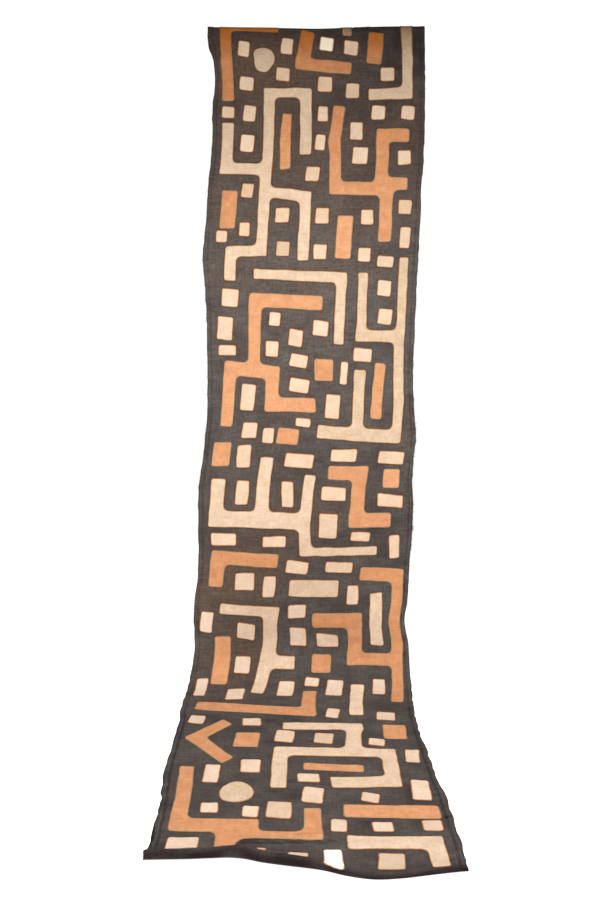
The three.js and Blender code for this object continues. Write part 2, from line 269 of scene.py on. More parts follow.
def unevenness(u, v, across, down, seed):
    """Smooth random heights from -1 to 1, on a lattice of the given size."""
    lattice = np.random.default_rng(seed).uniform(-1, 1, (LATTICE, LATTICE))
    x = np.asarray(u, float) / across + LATTICE_START
    y = np.asarray(v, float) / down + LATTICE_START
    i = np.floor(x).astype(int)
    j = np.floor(y).astype(int)
    s, t = smoothstep(x - i, 0, 1), smoothstep(y - j, 0, 1)

    def line(row):
        here, beside = lattice[row % LATTICE, i % LATTICE], lattice[row % LATTICE, (i + 1) % LATTICE]
        return here * (1 - s) + beside * s

    return line(j) * (1 - t) + line(j + 1) * t


print("a height of the first lattice:", unevenness(0, 0, 1, 1, 1).round(3))

# %% Creases
CREASES = (  # middle u, middle v, lean in degrees, length, half width, height
    (310, 259, 0, 620, 5, -1.0),
    (330, 735, 1, 560, 6, 0.7),
    (300, 1147, -1, 640, 7, -1.0),
    (320, 1475, 1, 560, 6, 0.8),
    (150, 1672, 2, 260, 9, 1.4),
    (430, 1760, -6, 240, 14, -1.6),
    (95, 1880, 12, 150, 12, 2.2),
    (560, 1985, -14, 120, 12, 2.5),
    (60, 2060, 20, 110, 12, 3.0),
    (293, 2539, -12, 340, 6, 4.0),
    (300, 2560, -12, 320, 7, 3.0),
)


def crease(u, v, middle_u, middle_v, lean, length, half_width, rise):
    """A soft ridge, or a trough where its rise is negative, that fades over its outer half."""
    tilt = math.radians(lean)
    along = (u - middle_u) * math.cos(tilt) + (v - middle_v) * math.sin(tilt)
    across = (v - middle_v) * math.cos(tilt) - (u - middle_u) * math.sin(tilt)
    ends = 1 - smoothstep(np.abs(along), length / 4, length / 2)
    return rise * ends * np.exp(-((across / half_width) ** 2))


print(len(CREASES), "creases, the first", crease(310, 259, *CREASES[0]), "mm at its middle")

# %% Relief of the cloth
HEM = 13  # width of the turned side hem
HEM_RISE = 0.8  # how much thicker the hem is, on each face
UNEVEN = ((45, 70, 0.5, 3), (18, 26, 0.25, 4))  # size across, size down, height, seed
PUCKER = (30, 24, 2.0, 5)  # the same for the puckers that the hems draw in
PUCKER_REACH = 28  # the puckers die out over this width
EDGE_WANDER = ((60, 0.9), (17, 1.1))  # length down, how far the side edges wander on the hang
LEFT_SEED, RIGHT_SEED = 11, 12  # for the wander of each side edge
SLACK = 1.4  # how much more the hems wander and pucker on the floor
TAUT = (12, 40)  # distances from the crest between which the unevenness sets in
PRESSED = 40  # length over which it dies out before the front fold


def slack(v):
    """How far the hems wander and pucker, beside what they do on the hang."""
    return 1 + SLACK * smoothstep(v, HANG_END, LAY_START)


def relief(u, v):
    """How far the cloth stands off its smooth course; on the floor it can only rise."""
    height = sum(crease(u, v, *row) for row in CREASES)
    for across, down, rise, seed in UNEVEN:
        height = height + rise * unevenness(u, v, across, down, seed)
    across, down, rise, seed = PUCKER
    from_hem = np.minimum(u, WIDTH - u)
    near_hem = np.exp(-from_hem / PUCKER_REACH)
    height = height + rise * slack(v) * near_hem * unevenness(u, v, across, down, seed)
    height = height * smoothstep(np.abs(v), *TAUT) * (1 - smoothstep(v, FRONT_FOLD - PRESSED, FRONT_FOLD))
    return np.where(v > HANG_END, np.maximum(height, 0), height)


print("hems on the floor wander", slack(LAY_START), "times as far as on the hang")

# %% Points on the cloth
HEM_EDGE = (HEM - 2, HEM + 1.5)  # the hem's step down lies between these distances from the side
HEM_PRESSED = 20  # length before the front fold over which the hem flattens
SPAN = 0.5  # distance to either side at which the slope of the cloth is measured


def middle(u, v):
    """Points on the smooth course, halfway through the cloth, between its uneven side edges."""
    left, right = EDGES(v)
    near_left, near_right = np.exp(-u / NICK_REACH), np.exp((u - WIDTH) / NICK_REACH)
    left = left + NICKS(v)[0] * near_left
    for length, wander in EDGE_WANDER:
        wander = wander * slack(v)
        left = left + wander * unevenness(v, 0 * v, length, 1, LEFT_SEED) * near_left
        right = right + wander * unevenness(v, 0 * v, length, 1, RIGHT_SEED) * near_right
    out, z = course(u, v)
    z = z + CREST(u)[0] * (1 - smoothstep(v, 0, CREST_FADE))
    return np.stack(np.broadcast_arrays(left + (right - left) * u / WIDTH, -out, z), -1)


def facing(u, v):
    """The direction that the face of the cloth looks in."""
    across = middle(u + SPAN, v) - middle(u - SPAN, v)
    down = middle(u, v + SPAN) - middle(u, v - SPAN)
    normal = np.cross(down, across)
    return normal / np.linalg.norm(normal, axis=-1, keepdims=True)


def drape(u, v, lift):
    """Points lifted off the middle of the cloth towards the face that shows, in millimetres."""
    return middle(u, v) + facing(u, v) * (relief(u, v) + lift)[..., None]


def hem_rise(u, v):
    """The extra thickness of the hem, which the weight of the cloth presses flat under the fold."""
    hem = 1 - smoothstep(np.minimum(u, WIDTH - u), *HEM_EDGE)
    return HEM_RISE * hem * (1 - smoothstep(v, FRONT_FOLD - HEM_PRESSED, FRONT_FOLD))


def on_face(u, v, lift):
    """Points lifted off the face of the ground, hems included, in millimetres."""
    return drape(u, v, CLOTH / 2 + hem_rise(u, v) + lift)


front = drape(np.array(WIDTH / 2), np.array(float(FRONT_FOLD)), 0)
print("middle of the front fold:", front.round(1), "mm")

# %% [markdown]
# ## The ground cloth
# The ground is one sheet: a grid of places, lifted to the face and to the back, and closed along
# its edges. Solidify could give the thickness, but the hems are thicker than the rest, and on the
# floor only their upper face rises. The rows lie close where the cloth bends. Its UV map is the flat
# cloth itself, in metres, so that the weave follows the threads round every fold.

# %% Make the ground
ROW_STEPS = (  # end of the stretch, row height
    (-TOP_ARC, 8), (TOP_ARC, 2), (HANG_END, 7), (FOOT_END, 6), (LAY_END, 6),
    (FRONT_FOLD + 20, 2.5), (FRONT_FOLD + UNDER_END, 14),
)
HEM_COLUMNS = [0, 2.5, 6, 9.5, 12, 14.5, 18, 24, 30]  # columns by the left hem, and so by the right
INNER_COLUMNS = np.linspace(36, WIDTH - 36, 80)  # even columns between the hems
COLUMN_PLACES = [*HEM_COLUMNS, *INNER_COLUMNS, *(WIDTH - u for u in HEM_COLUMNS[::-1])]


def add_piece(name, points, faces, places=None, numbers=()):
    """A mesh object from points in millimetres, with the flat cloth as UV map and named numbers."""
    mesh = bpy.data.meshes.new(name)
    mesh.from_pydata((np.asarray(points) * MM).tolist(), [], faces)
    mesh.shade_smooth()
    if places is not None:
        corners = np.zeros(len(mesh.loops), int)
        mesh.loops.foreach_get("vertex_index", corners)
        uv = mesh.uv_layers.new(name="flat_cloth")
        uv.data.foreach_set("uv", (np.asarray(places)[corners] * MM).ravel())
    for number, values in dict(numbers).items():
        attribute = mesh.attributes.new(number, "FLOAT", "POINT")
        attribute.data.foreach_set("value", np.asarray(values, np.float32))
    piece = bpy.data.objects.new(name, mesh)
    bpy.context.scene.collection.objects.link(piece)
    return piece


rows = [-TOP_ARC - TAIL]
for end, step in ROW_STEPS:
    count = math.ceil((end - rows[-1]) / step)
    rows.extend(np.linspace(rows[-1], end, count + 1)[1:])
u, v = (grid.ravel() for grid in np.meshgrid(COLUMN_PLACES, rows))
across_count, size = len(COLUMN_PLACES), len(u)
face_skin = on_face(u, v, 0)
back_skin = drape(u, v, -CLOTH / 2 - hem_rise(u, v) * (v < HANG_END))
faces = []
for j in range(len(rows) - 1):
    for i in range(across_count - 1):
        a = j * across_count + i
        b = a + across_count
        faces.append((a, b, b + 1, a + 1))
        faces.append((a + size, a + 1 + size, b + 1 + size, b + size))
rim = list(range(across_count))
rim += [j * across_count + across_count - 1 for j in range(1, len(rows))]
rim += [size - 1 - i for i in range(1, across_count)]
rim += [j * across_count for j in range(len(rows) - 2, 0, -1)]
for a, b in zip(rim, rim[1:] + rim[:1]):
    faces.append((a, b, b + size, a + size))
ground = add_piece("raffia_ground_cloth", np.vstack([face_skin, back_skin]), faces,
                   np.tile(np.stack([u, v], -1), (2, 1)))
print("ground:", len(rows), "rows,", 2 * len(faces), "triangles")

# %% [markdown]
# ## The chart of the pieces
# The pattern is a traditional one of hooks, bars and small squares, laid out by eye, so nothing in
# it repeats. Each piece is charted as one or more straight strips, which is how a maker cuts them:
# the two ends of a strip's middle line and its width. Reading a picture would bring its stains and
# shadows along, and a chart keeps every piece a real cut shape.

# %% Long pieces
# Strips: from u, from v, to u, to v, width
TAN = {
    "hook": [(567, -45, 568, 214, 32), (455, 199, 584, 195, 36)],
    "stub": [(396, -15, 396, 30, 28)],
    "lintel": [(420, -12, 465, -12, 36)],
    "tree": [
        (147, 194, 288, 193, 30), (271, 180, 274, 374, 36), (164, 180, 166, 670, 34),
        (30, 415, 165, 415, 34), (45, 282, 46, 431, 36), (166, 480, 302, 497, 34),
        (286, 482, 287, 683, 34), (64, 656, 182, 653, 33), (80, 642, 73, 742, 36),
    ],
    "corner": [(143, 720, 415, 732, 32), (401, 718, 393, 927, 32)],
    "ladder": [
        (462, 717, 460, 917, 30), (443, 900, 590, 905, 36), (579, 672, 578, 917, 28),
        (575, 902, 575, 1092, 32), (576, 1082, 560, 1213, 32), (328, 1178, 571, 1197, 41),
        (459, 1000, 446, 1182, 36),
    ],
    "comb": [
        (56, 1318, 51, 1447, 42), (29, 1433, 315, 1440, 49), (190, 1254, 183, 1427, 40),
        (322, 1305, 306, 1452, 34), (304, 1437, 313, 1540, 36), (300, 1529, 521, 1527, 27),
    ],
    "plank": [(270, 1635, 415, 1637, 50)],
    "crook": [
        (75, 1695, 250, 1705, 31), (229, 1695, 212, 1835, 43), (210, 1815, 192, 1955, 38),
        (205, 1845, 291, 1848, 38),
    ],
    "post": [(525, 1650, 534, 1730, 38), (534, 1716, 528, 1801, 38)],
    "slat": [(470, 1914, 466, 2073, 38)],
    "maze": [
        (268, 2126, 477, 2131, 35), (455, 2115, 440, 2250, 42), (250, 2241, 545, 2251, 38),
        (267, 2225, 257, 2394, 38), (526, 2238, 517, 2390, 38), (375, 2371, 534, 2368, 46),
    ],
    "angle": [(393, 2573, 588, 2573, 39), (568, 2556, 571, 2663, 38)],
    "sliver": [(276, 2609, 317, 2611, 15)],
}
ORANGE = {
    "hook": [(40, -4, 200, 0, 36), (49, -12, 42, 108, 32), (42, 98, 44, 219, 34)],
    "elbow": [(285, 14, 259, 120, 38), (242, 107, 405, 123, 34)],
    "bar_a": [(481, 22, 470, 109, 43)],
    "bar_b": [(218, 254, 213, 338, 29), (213, 328, 219, 415, 31)],
    "gate": [
        (371, 232, 357, 334, 34), (357, 322, 371, 488, 34), (353, 470, 540, 475, 38),
        (497, 300, 502, 482, 36), (480, 318, 575, 320, 38), (505, 459, 579, 459, 37),
        (518, 467, 520, 628, 37),
    ],
    "bar_c": [(65, 479, 64, 589, 44)],
    "bar_d": [(404, 552, 401, 676, 46)],
    "crane": [
        (131, 795, 344, 807, 40), (146, 782, 138, 1002, 36), (52, 993, 216, 1011, 40),
        (69, 977, 57, 1165, 36), (197, 997, 191, 1119, 40), (172, 1101, 324, 1103, 40),
    ],
    "tile_a": [(350, 969, 349, 1032, 56)],
    "bar_e": [(521, 982, 503, 1142, 32)],
    "tile_b": [(212, 1191, 275, 1196, 46)],
    "tile_c": [(55, 1211, 55, 1280, 52)],
    "step": [(372, 1299, 488, 1301, 40), (469, 1287, 454, 1446, 40), (434, 1438, 555, 1439, 41)],
    "tile_d": [(558, 1290, 557, 1346, 48)],
    "square": [(37, 1545, 232, 1557, 38), (57, 1532, 56, 1634, 42)],
    "frame": [
        (475, 1595, 603, 1602, 38), (587, 1592, 589, 1724, 32), (590, 1712, 578, 2002, 32),
        (440, 1838, 585, 1840, 33), (473, 1727, 459, 1851, 40), (348, 1730, 493, 1729, 42),
    ],
    "bar_f": [(81, 1776, 80, 1914, 46)],
    "tile_e": [(367, 1826, 366, 1876, 54)],
    "keel": [(38, 2022, 358, 2058, 42), (338, 1943, 341, 2074, 38)],
    "chevron": [(126, 2105, 36, 2194, 36), (38, 2166, 140, 2280, 36)],
    "tile_f": [(181, 2158, 179, 2223, 62)],
    "tile_g": [(557, 2122, 553, 2187, 58)],
    "bar_g": [(318, 2305, 458, 2315, 27)],
    "wrench": [
        (49, 2305, 45, 2534, 34), (30, 2517, 213, 2521, 40), (134, 2550, 347, 2552, 26),
        (328, 2464, 326, 2564, 38), (149, 2529, 150, 2604, 41),
    ],
    "bar_h": [(395, 2472, 597, 2479, 42)],
}
# Round pieces, cut by eye: middle u, middle v, and the radius at each eighth of a turn from the right
ROUNDS = {
    "round_a": (154, 98, 30, 28, 37, 37.5, 32, 40, 36, 34.5),
    "round_b": (164, 2406, 37.5, 39.5, 39.5, 44.5, 38, 35.5, 39.5, 37.5),
}
print("long pieces:", len(TAN) + len(ORANGE) + len(ROUNDS))

# %% Squares
# The same five numbers, from the middle of a square's upper side to the middle of its lower one
CREAM = [
    (99, 45, 91, 90, 34), (225, 35, 218, 82, 35), (409, 43, 402, 85, 42), (207, 120, 203, 160, 42),
    (101, 147, 96, 187, 41), (329, 145, 327, 190, 42), (409, 166, 408, 209, 40), (510, 120, 510, 160, 42),
    (46, 235, 45, 269, 37), (110, 231, 106, 278, 37), (323, 231, 322, 277, 31), (486, 232, 484, 273, 40),
    (571, 234, 568, 274, 40), (105, 316, 102, 366, 40), (421, 279, 420, 331, 38), (318, 314, 314, 361, 30),
    (435, 351, 433, 402, 47), (562, 362, 565, 405, 40), (301, 408, 300, 451, 41), (116, 457, 113, 499, 35),
    (221, 527, 220, 572, 42), (337, 528, 336, 575, 40), (466, 533, 466, 578, 38), (575, 506, 573, 549, 39),
    (113, 570, 113, 612, 32), (50, 595, 50, 630, 32), (579, 585, 577, 648, 32), (336, 634, 335, 680, 39),
    (464, 644, 463, 686, 38), (526, 669, 524, 701, 47), (74, 764, 70, 817, 50), (527, 739, 523, 786, 41),
    (532, 822, 527, 868, 43), (58, 845, 51, 913, 47), (205, 832, 201, 872, 35), (342, 857, 337, 902, 47),
    (269, 882, 261, 932, 43), (60, 927, 59, 959, 54), (195, 916, 192, 963, 41), (278, 954, 271, 993, 54),
    (279, 1026, 273, 1066, 59), (413, 976, 407, 1043, 23), (468, 937, 465, 977, 56),
    (125, 1042, 117, 1120, 43), (378, 1071, 371, 1142, 44), (287, 1140, 285, 1166, 45),
    (130, 1152, 129, 1200, 46), (186, 1169, 185, 1214, 33), (119, 1219, 122, 1286, 41),
    (241, 1261, 326, 1267, 42), (373, 1248, 450, 1249, 37), (513, 1254, 591, 1259, 38),
    (128, 1322, 124, 1394, 38), (257, 1325, 257, 1400, 35), (355, 1358, 427, 1362, 40),
    (517, 1379, 592, 1386, 39), (376, 1417, 373, 1489, 54), (470, 1471, 468, 1499, 58),
    (36, 1494, 110, 1494, 37), (220, 1483, 220, 1516, 68), (568, 1482, 574, 1551, 31),
    (292, 1556, 288, 1593, 65), (372, 1573, 453, 1577, 33), (139, 1591, 141, 1642, 58),
    (213, 1599, 213, 1663, 37), (457, 1627, 458, 1684, 35), (300, 1683, 302, 1723, 53),
    (41, 1704, 33, 1764, 38), (155, 1738, 147, 1784, 52), (303, 1750, 299, 1803, 49),
    (387, 1769, 385, 1806, 64), (141, 1831, 140, 1879, 44), (35, 1893, 36, 1970, 33),
    (134, 1931, 136, 1990, 50), (272, 1902, 270, 1970, 46), (344, 1890, 340, 1923, 42),
    (408, 1898, 404, 1967, 47), (530, 1895, 528, 1961, 37), (49, 2074, 41, 2115, 42),
    (188, 2088, 188, 2125, 50), (408, 2039, 398, 2086, 35), (545, 2058, 540, 2099, 50),
    (278, 2148, 271, 2203, 49), (506, 2186, 500, 2218, 42), (583, 2236, 577, 2291, 35),
    (196, 2277, 194, 2330, 48), (108, 2297, 103, 2373, 37), (328, 2334, 327, 2371, 52),
    (337, 2391, 328, 2446, 47), (577, 2362, 569, 2438, 42), (462, 2411, 453, 2445, 41),
    (107, 2445, 107, 2480, 39), (197, 2456, 194, 2494, 37), (383, 2501, 379, 2541, 35),
    (471, 2509, 471, 2541, 44), (574, 2504, 573, 2538, 42), (65, 2556, 66, 2600, 65),
    (212, 2592, 236, 2594, 6.5),
]
TANNED_CREAM = [
    (229, 626, 227, 669, 39), (375, 2161, 369, 2208, 49), (259, 2442, 254, 2497, 55),
    (478, 2603, 475, 2664, 54),
]
WHITE = [
    [(340, 31, 333, 72, 40)],
    [(363, 2593, 364, 2661, 37), (368, 2600, 372, 2667, 26), (376, 2610, 379, 2674, 14)],
]
print("squares:", len(CREAM) + len(TANNED_CREAM) + len(WHITE))

# %% [markdown]
# ## Cutting a piece
# A pair of scissors follows a line by hand, so corners come out rounded and edges waver. A signed
# distance does all of that in one number: how far a place is outside the cut, negative inside.
# Strips join by the smaller distance. Where their edges meet at an angle the two are blended, so
# that inner corners are rounded too, and a little unevenness is added for the hand. Where the
# number passes zero is the outline. Bevelled boxes could stand for the strips, but where they cross
# they would leave seams.

# %% Distance from the cut
CORNER = 6  # radius that the scissors leave at a corner
INNER_CORNER = 18  # length over which two strips blend
SAME_WAY = 0.999  # how alike two directions may count, so that a blend never vanishes
HAND = ((34, 1.3), (11, 0.45))  # length and depth of the waver of a hand-cut edge


def from_strip(u, v, strip):
    """Distance outside one strip with rounded corners, and the direction in which it grows."""
    from_u, from_v, to_u, to_v, width = strip
    length = math.hypot(to_u - from_u, to_v - from_v)
    cos, sin = (to_u - from_u) / length, (to_v - from_v) / length
    x, y = u - (from_u + to_u) / 2, v - (from_v + to_v) / 2
    along, aside = x * cos + y * sin, y * cos - x * sin
    past_end = np.abs(along) - length / 2 + CORNER
    past_side = np.abs(aside) - width / 2 + CORNER
    outside = np.hypot(np.maximum(past_end, 0), np.maximum(past_side, 0))
    endward = np.where(outside > 0, np.maximum(past_end, 0), past_end > past_side)
    sideward = np.where(outside > 0, np.maximum(past_side, 0), past_end <= past_side)
    size = np.where(outside > 0, outside, 1)
    endward, sideward = np.sign(along) * endward / size, np.sign(aside) * sideward / size
    distance = outside + np.minimum(np.maximum(past_end, past_side), 0) - CORNER
    return distance, endward * cos - sideward * sin, endward * sin + sideward * cos


def from_round(u, v, middle_u, middle_v, *radii):
    """Distance outside a round piece."""
    eighth = np.degrees(np.arctan2(v - middle_v, u - middle_u)) / 45
    return np.hypot(u - middle_u, v - middle_v) - np.interp(eighth, range(8), radii, period=8)


def from_cut(u, v, strips, round_cut, seed):
    """Distance outside a whole piece, with its inner corners and the waver of the hand."""
    if round_cut:
        near = from_round(u, v, *round_cut)
    else:
        found = [from_strip(u, v, strip) for strip in strips]
        near = np.min([distance for distance, _, _ in found], axis=0)
        for (far_a, ua, va), (far_b, ub, vb) in itertools.combinations(found, 2):
            blend = INNER_CORNER * (1 - np.clip(ua * ub + va * vb, 0, SAME_WAY))
            share = np.maximum(blend - np.abs(far_a - far_b), 0) / blend
            near = np.minimum(near, np.minimum(far_a, far_b) - share**2 * blend / 4)
    for length, depth in HAND:
        near = near + depth * unevenness(u, v, length, length, seed)
    return near


inside_stub = -from_cut(396, 0, TAN["stub"], None, 1)
print("on the crest, the cut of the stub is", inside_stub.round(1), "mm from its middle line")

# %% Walk along a cut
LEAST_POINTS = 12  # on any outline, however small
SLOPE_STEP = 0.4  # distance to either side at which a slope is measured
NO_SLOPE = 1e-9  # keeps a level place from being divided by zero


def slope_of(distance, places):
    """Unit direction in which the distance grows."""
    u, v = places.T
    grow = np.stack([distance(u + SLOPE_STEP, v) - distance(u - SLOPE_STEP, v),
                     distance(u, v + SLOPE_STEP) - distance(u, v - SLOPE_STEP)], -1)
    return grow / np.maximum(np.linalg.norm(grow, axis=-1, keepdims=True), NO_SLOPE)


def walk(links):
    """The longest closed walk through linked crossings."""
    walks, left = [], set(links)
    while left:
        trail, here = [], next(iter(sorted(left)))
        while here is not None:
            trail.append(here)
            left.discard(here)
            here = next((k for k in links[here] if k in left), None)
        walks.append(trail)
    return max(walks, key=len)


def spread_evenly(loop, pitch):
    """Places about a pitch apart all along a closed line."""
    closed = np.vstack([loop, loop[:1]])
    lengths = np.concatenate([[0], np.cumsum(np.linalg.norm(np.diff(closed, axis=0), axis=1))])
    count = max(round(lengths[-1] / pitch), LEAST_POINTS)
    stations = np.arange(count) * lengths[-1] / count
    return np.stack([np.interp(stations, lengths, closed[:, k]) for k in (0, 1)], -1)


square = np.array([(0, 0), (30, 0), (30, 30), (0, 30)])
print("points on a square of 30 mm:", len(spread_evenly(square, 4)))

# %% Outline of a cut
GRID = 2.5  # spacing of the places where the distance is worked out
PITCH = 4  # spacing of the points along an outline
SETTLE = 3  # times that the points are moved onto the zero line


def outline(distance, low, high):
    """Evenly spaced places along the zero line, with the piece on their left as one looks at it."""
    us = np.arange(low[0], high[0], GRID)
    vs = np.arange(low[1], high[1], GRID)
    far = distance(us[None, :], vs[:, None])
    inside = far < 0
    count = inside[:-1, :-1] + 0 + inside[1:, :-1] + inside[:-1, 1:] + inside[1:, 1:]
    crossings, links = {}, defaultdict(list)
    for i, j in np.argwhere((count > 0) & (count < 4)).tolist():
        ring = [(i, j), (i, j + 1), (i + 1, j + 1), (i + 1, j)]
        found = []
        for a, b in zip(ring, ring[1:] + ring[:1]):
            if inside[a] != inside[b]:
                a, b = sorted((a, b))
                t = far[a] / (far[a] - far[b])
                (row_a, column_a), (row_b, column_b) = a, b
                crossings[a, b] = (us[column_a] + t * (us[column_b] - us[column_a]),
                                   vs[row_a] + t * (vs[row_b] - vs[row_a]))
                found.append((a, b))
        for a, b in zip(found[::2], found[1::2]):
            links[a].append(b)
            links[b].append(a)
    loop = np.array([crossings[k] for k in walk(links)])
    nearby = np.roll(loop, -1, axis=0)
    if np.sum(loop[:, 0] * nearby[:, 1] - loop[:, 1] * nearby[:, 0]) > 0:
        loop = loop[::-1]
    loop = spread_evenly(loop, PITCH)
    for _ in range(SETTLE):
        loop = loop - slope_of(distance, loop) * distance(*loop.T)[:, None]
    return loop


first_square = outline(lambda u, v: from_cut(u, v, CREAM[:1], None, 1), (60, 20), (130, 120))
print("the first square has", len(first_square), "points along its outline")

# %% [markdown]
# ## Sewn-on pieces
# The edge of a piece is turned under before it is sewn, so it swells a little along its outline and
# is flatter inside, and a flat thread lies round it. Each piece is a thin closed shell: rings of
# points step in from the thread, a Delaunay triangulation fills the rest with points a few
# millimetres apart, and the same pattern closes the underside. Solidify could thicken an open sheet
# too, but it would leave out the swell. All shells of a colour become one mesh, with numbers for
# the shader: how far a point is from the edge, how light the piece was dyed, and how much dirt and
# painted shade darken it. Both are strongest near the top fold, where hands and dust reach it, and
# where the painted shade stands in for the fold turning away from the light.

# %% Shell of a piece
RINGS = ((-1.6, 0.25), (0, 0.45), (1.1, 0.9), (2.8, 1.25))  # distance in from the outline, height there
PIECE_HEIGHT = 1.05  # height inside, where a single layer lies
TURNED_UNDER = 9  # width of the turned edge
FILL = 4.2  # spacing of the points inside
CLEAR = 0.45  # share of that spacing that they keep from the last ring
INSIDE_ONLY, TOUCHING = 1, 1e-4  # what the triangulation returns, and how near two points are one
MARGIN = 8  # room round a piece in which its outline is looked for
SEAT = 0.1  # underside above the ground


def shell(strips, round_cut, seed):
    """Places, heights, distances from the edge and faces of one piece, and its outline."""
    def distance(u, v):
        return from_cut(u, v, strips, round_cut, seed)

    ends = [end for row in strips for end in (row[:2], row[2:4])]
    corners = np.array(ends or [round_cut[:2]])
    margin = max([row[4] for row in strips] or round_cut[2:]) + MARGIN
    edge = outline(distance, corners.min(0) - margin, corners.max(0) + margin)
    inward = -slope_of(distance, edge)
    *rims, inner = [edge + inward * step for step, _ in RINGS]
    us = np.arange(edge[:, 0].min(), edge[:, 0].max(), FILL)
    vs = np.arange(edge[:, 1].min(), edge[:, 1].max(), FILL)
    grid = np.stack(np.meshgrid(us, vs), -1).reshape(-1, 2)
    fill = grid[distance(*grid.T) < -RINGS[-1][0] - CLEAR * FILL]
    count = len(edge)
    flat = [tuple(p) for p in np.vstack([inner, fill]).tolist()]
    ring = [(i, (i + 1) % count) for i in range(count)]
    found = geometry.delaunay_2d_cdt(flat, ring, [], INSIDE_ONLY, TOUCHING)
    spots = np.array([tuple(p) for p in found[0]])
    at = {old: new for new, olds in enumerate(found[3]) for old in olds}
    depth = np.maximum(-distance(*spots.T), 0)
    swell = (RINGS[-1][1] - PIECE_HEIGHT) * np.exp(-((depth / TURNED_UNDER) ** 2))
    heights = [np.full(count, height) for _, height in RINGS[:-1]]
    heights += [PIECE_HEIGHT + swell, np.full(len(spots), SEAT)]
    depths = [np.full(count, step) for step, _ in RINGS[:-1]] + [depth, depth]
    top = len(rims) * count
    under = top + len(spots)
    faces = []
    for a, b, c in found[2]:
        (au, av), (bu, bv), (cu, cv) = spots[a], spots[b], spots[c]
        a, c = (a, c) if (bu - au) * (cv - av) < (bv - av) * (cu - au) else (c, a)
        faces.append((a + top, b + top, c + top))
        faces.append((c + under, b + under, a + under))
    for i, k in ring:
        for start in range(0, top - count, count):
            faces.append((i + start, k + start, k + start + count, i + start + count))
        faces.append((i + top - count, k + top - count, at[k] + top, at[i] + top))
        faces.append((k, i, at[i] + under, at[k] + under))
    return np.vstack([*rims, spots, spots]), np.concatenate(heights), np.concatenate(depths), faces, edge


print("the shell of the first square has", len(shell(CREAM[:1], None, 1)[3]), "faces")

# %% All the pieces of a colour
THREAD_TURN = 2.5  # degrees that the threads of a piece lie askew, more or less
THREAD_SHIFT = 4000  # each piece shows its own part of a pattern that is this long and wide
DYE_SPREAD = 0.22  # how much the dye differs from piece to piece
SOIL_AND_SHADE = table(  # v, how much dirt and painted shade darken the tan pieces, the orange ones and the squares; near the crest the tan and orange columns are painted shade as much as dirt, where the fold turns from the light
    (-60, 1, 1, 0.3), (0, 1, 1, 0.3), (30, 0.7, 0.95, 0.3), (100, 0.25, 0.4, 0.3),
    (190, 0.12, 0.4, 0.35), (320, 0.16, 0.25, 0.15), (500, 0, 0.05, 0.5), (700, 0, 0.05, 0.25),
    (1000, 0, 0, 0.25), (1400, 0, 0, 0.3), (1600, 0.08, 0.08, 0.2), (1780, 0, 0.08, 0),
    (2000, 0, 0, 0.1), (2200, 0.05, 0.05, 0.15), (2640, 0.05, 0.05, 0.05),
)
random = np.random.default_rng(7)


def sew_on(name, cuts, soil_and_shade_amount):
    """One mesh of all pieces of a colour, from rows of strips, round cut and dye, and the outlines."""
    flats, lifts, depths, dyes, weaves, faces, edges = [], [], [], [], [], [], []
    start = 0
    for strips, round_cut, dye in cuts:
        places, height, depth, shell_faces, edge = shell(strips, round_cut, int(random.integers(1 << 30)))
        turn = math.radians(random.normal(0, THREAD_TURN))
        turned = places @ np.array([(math.cos(turn), math.sin(turn)), (-math.sin(turn), math.cos(turn))])
        weaves.append(turned + random.uniform(0, THREAD_SHIFT, 2))
        dyes.append(np.full(len(places), dye + random.normal(0, DYE_SPREAD)))
        faces.extend(tuple(k + start for k in face) for face in shell_faces)
        start += len(places)
        flats.append(places)
        lifts.append(height)
        depths.append(depth)
        edges.append(edge)
    u, v = np.vstack(flats).T
    points = on_face(u, ground_row(u, v), np.concatenate(lifts))
    numbers = {"from_edge": np.concatenate(depths), "dye": np.concatenate(dyes),
               # how much dirt and painted shade darken each point, the shade strongest at the crest
               "soil_and_shade_amount": SOIL_AND_SHADE(v)[soil_and_shade_amount]}
    piece = add_piece(name, points, faces, np.vstack(weaves), numbers)
    print(name, len(cuts), "pieces,", sum(len(face) - 2 for face in faces), "triangles")
    return piece, edges


print("soil at the crest:", SOIL_AND_SHADE(0))

# %% Sew the pieces on
TAN_SOIL_AND_SHADE, ORANGE_SOIL_AND_SHADE, SQUARE_SOIL_AND_SHADE = 0, 1, 2  # columns of the table of dirt and painted shade
DARKER, EVEN, LIGHTER_PAINTED_HIGHLIGHT = -1, 0, 1  # dyes, on the scale between a finish's dark and light shade; the lighter one is used only for the white piece at the front, as painted highlight where it faces the light
tan_cuts = [(strips, None, EVEN) for strips in TAN.values()]
tan_cuts += [((), round_cut, EVEN) for round_cut in ROUNDS.values()]
tan, tan_edges = sew_on("tan_raffia_pieces", tan_cuts, TAN_SOIL_AND_SHADE)
orange_cuts = [(strips, None, EVEN) for strips in ORANGE.values()]
orange, orange_edges = sew_on("orange_raffia_pieces", orange_cuts, ORANGE_SOIL_AND_SHADE)
cream_cuts = [([row], None, EVEN) for row in CREAM] + [([row], None, DARKER) for row in TANNED_CREAM]
cream, cream_edges = sew_on("cream_raffia_pieces", cream_cuts, SQUARE_SOIL_AND_SHADE)
# the white piece at the crest takes the darker shade; the one at the front takes the lighter shade as
# painted highlight
white_cuts = [(strips, None, dye) for strips, dye in zip(WHITE, (DARKER, LIGHTER_PAINTED_HIGHLIGHT))]
white, white_edges = sew_on("white_raffia_pieces", white_cuts, SQUARE_SOIL_AND_SHADE)

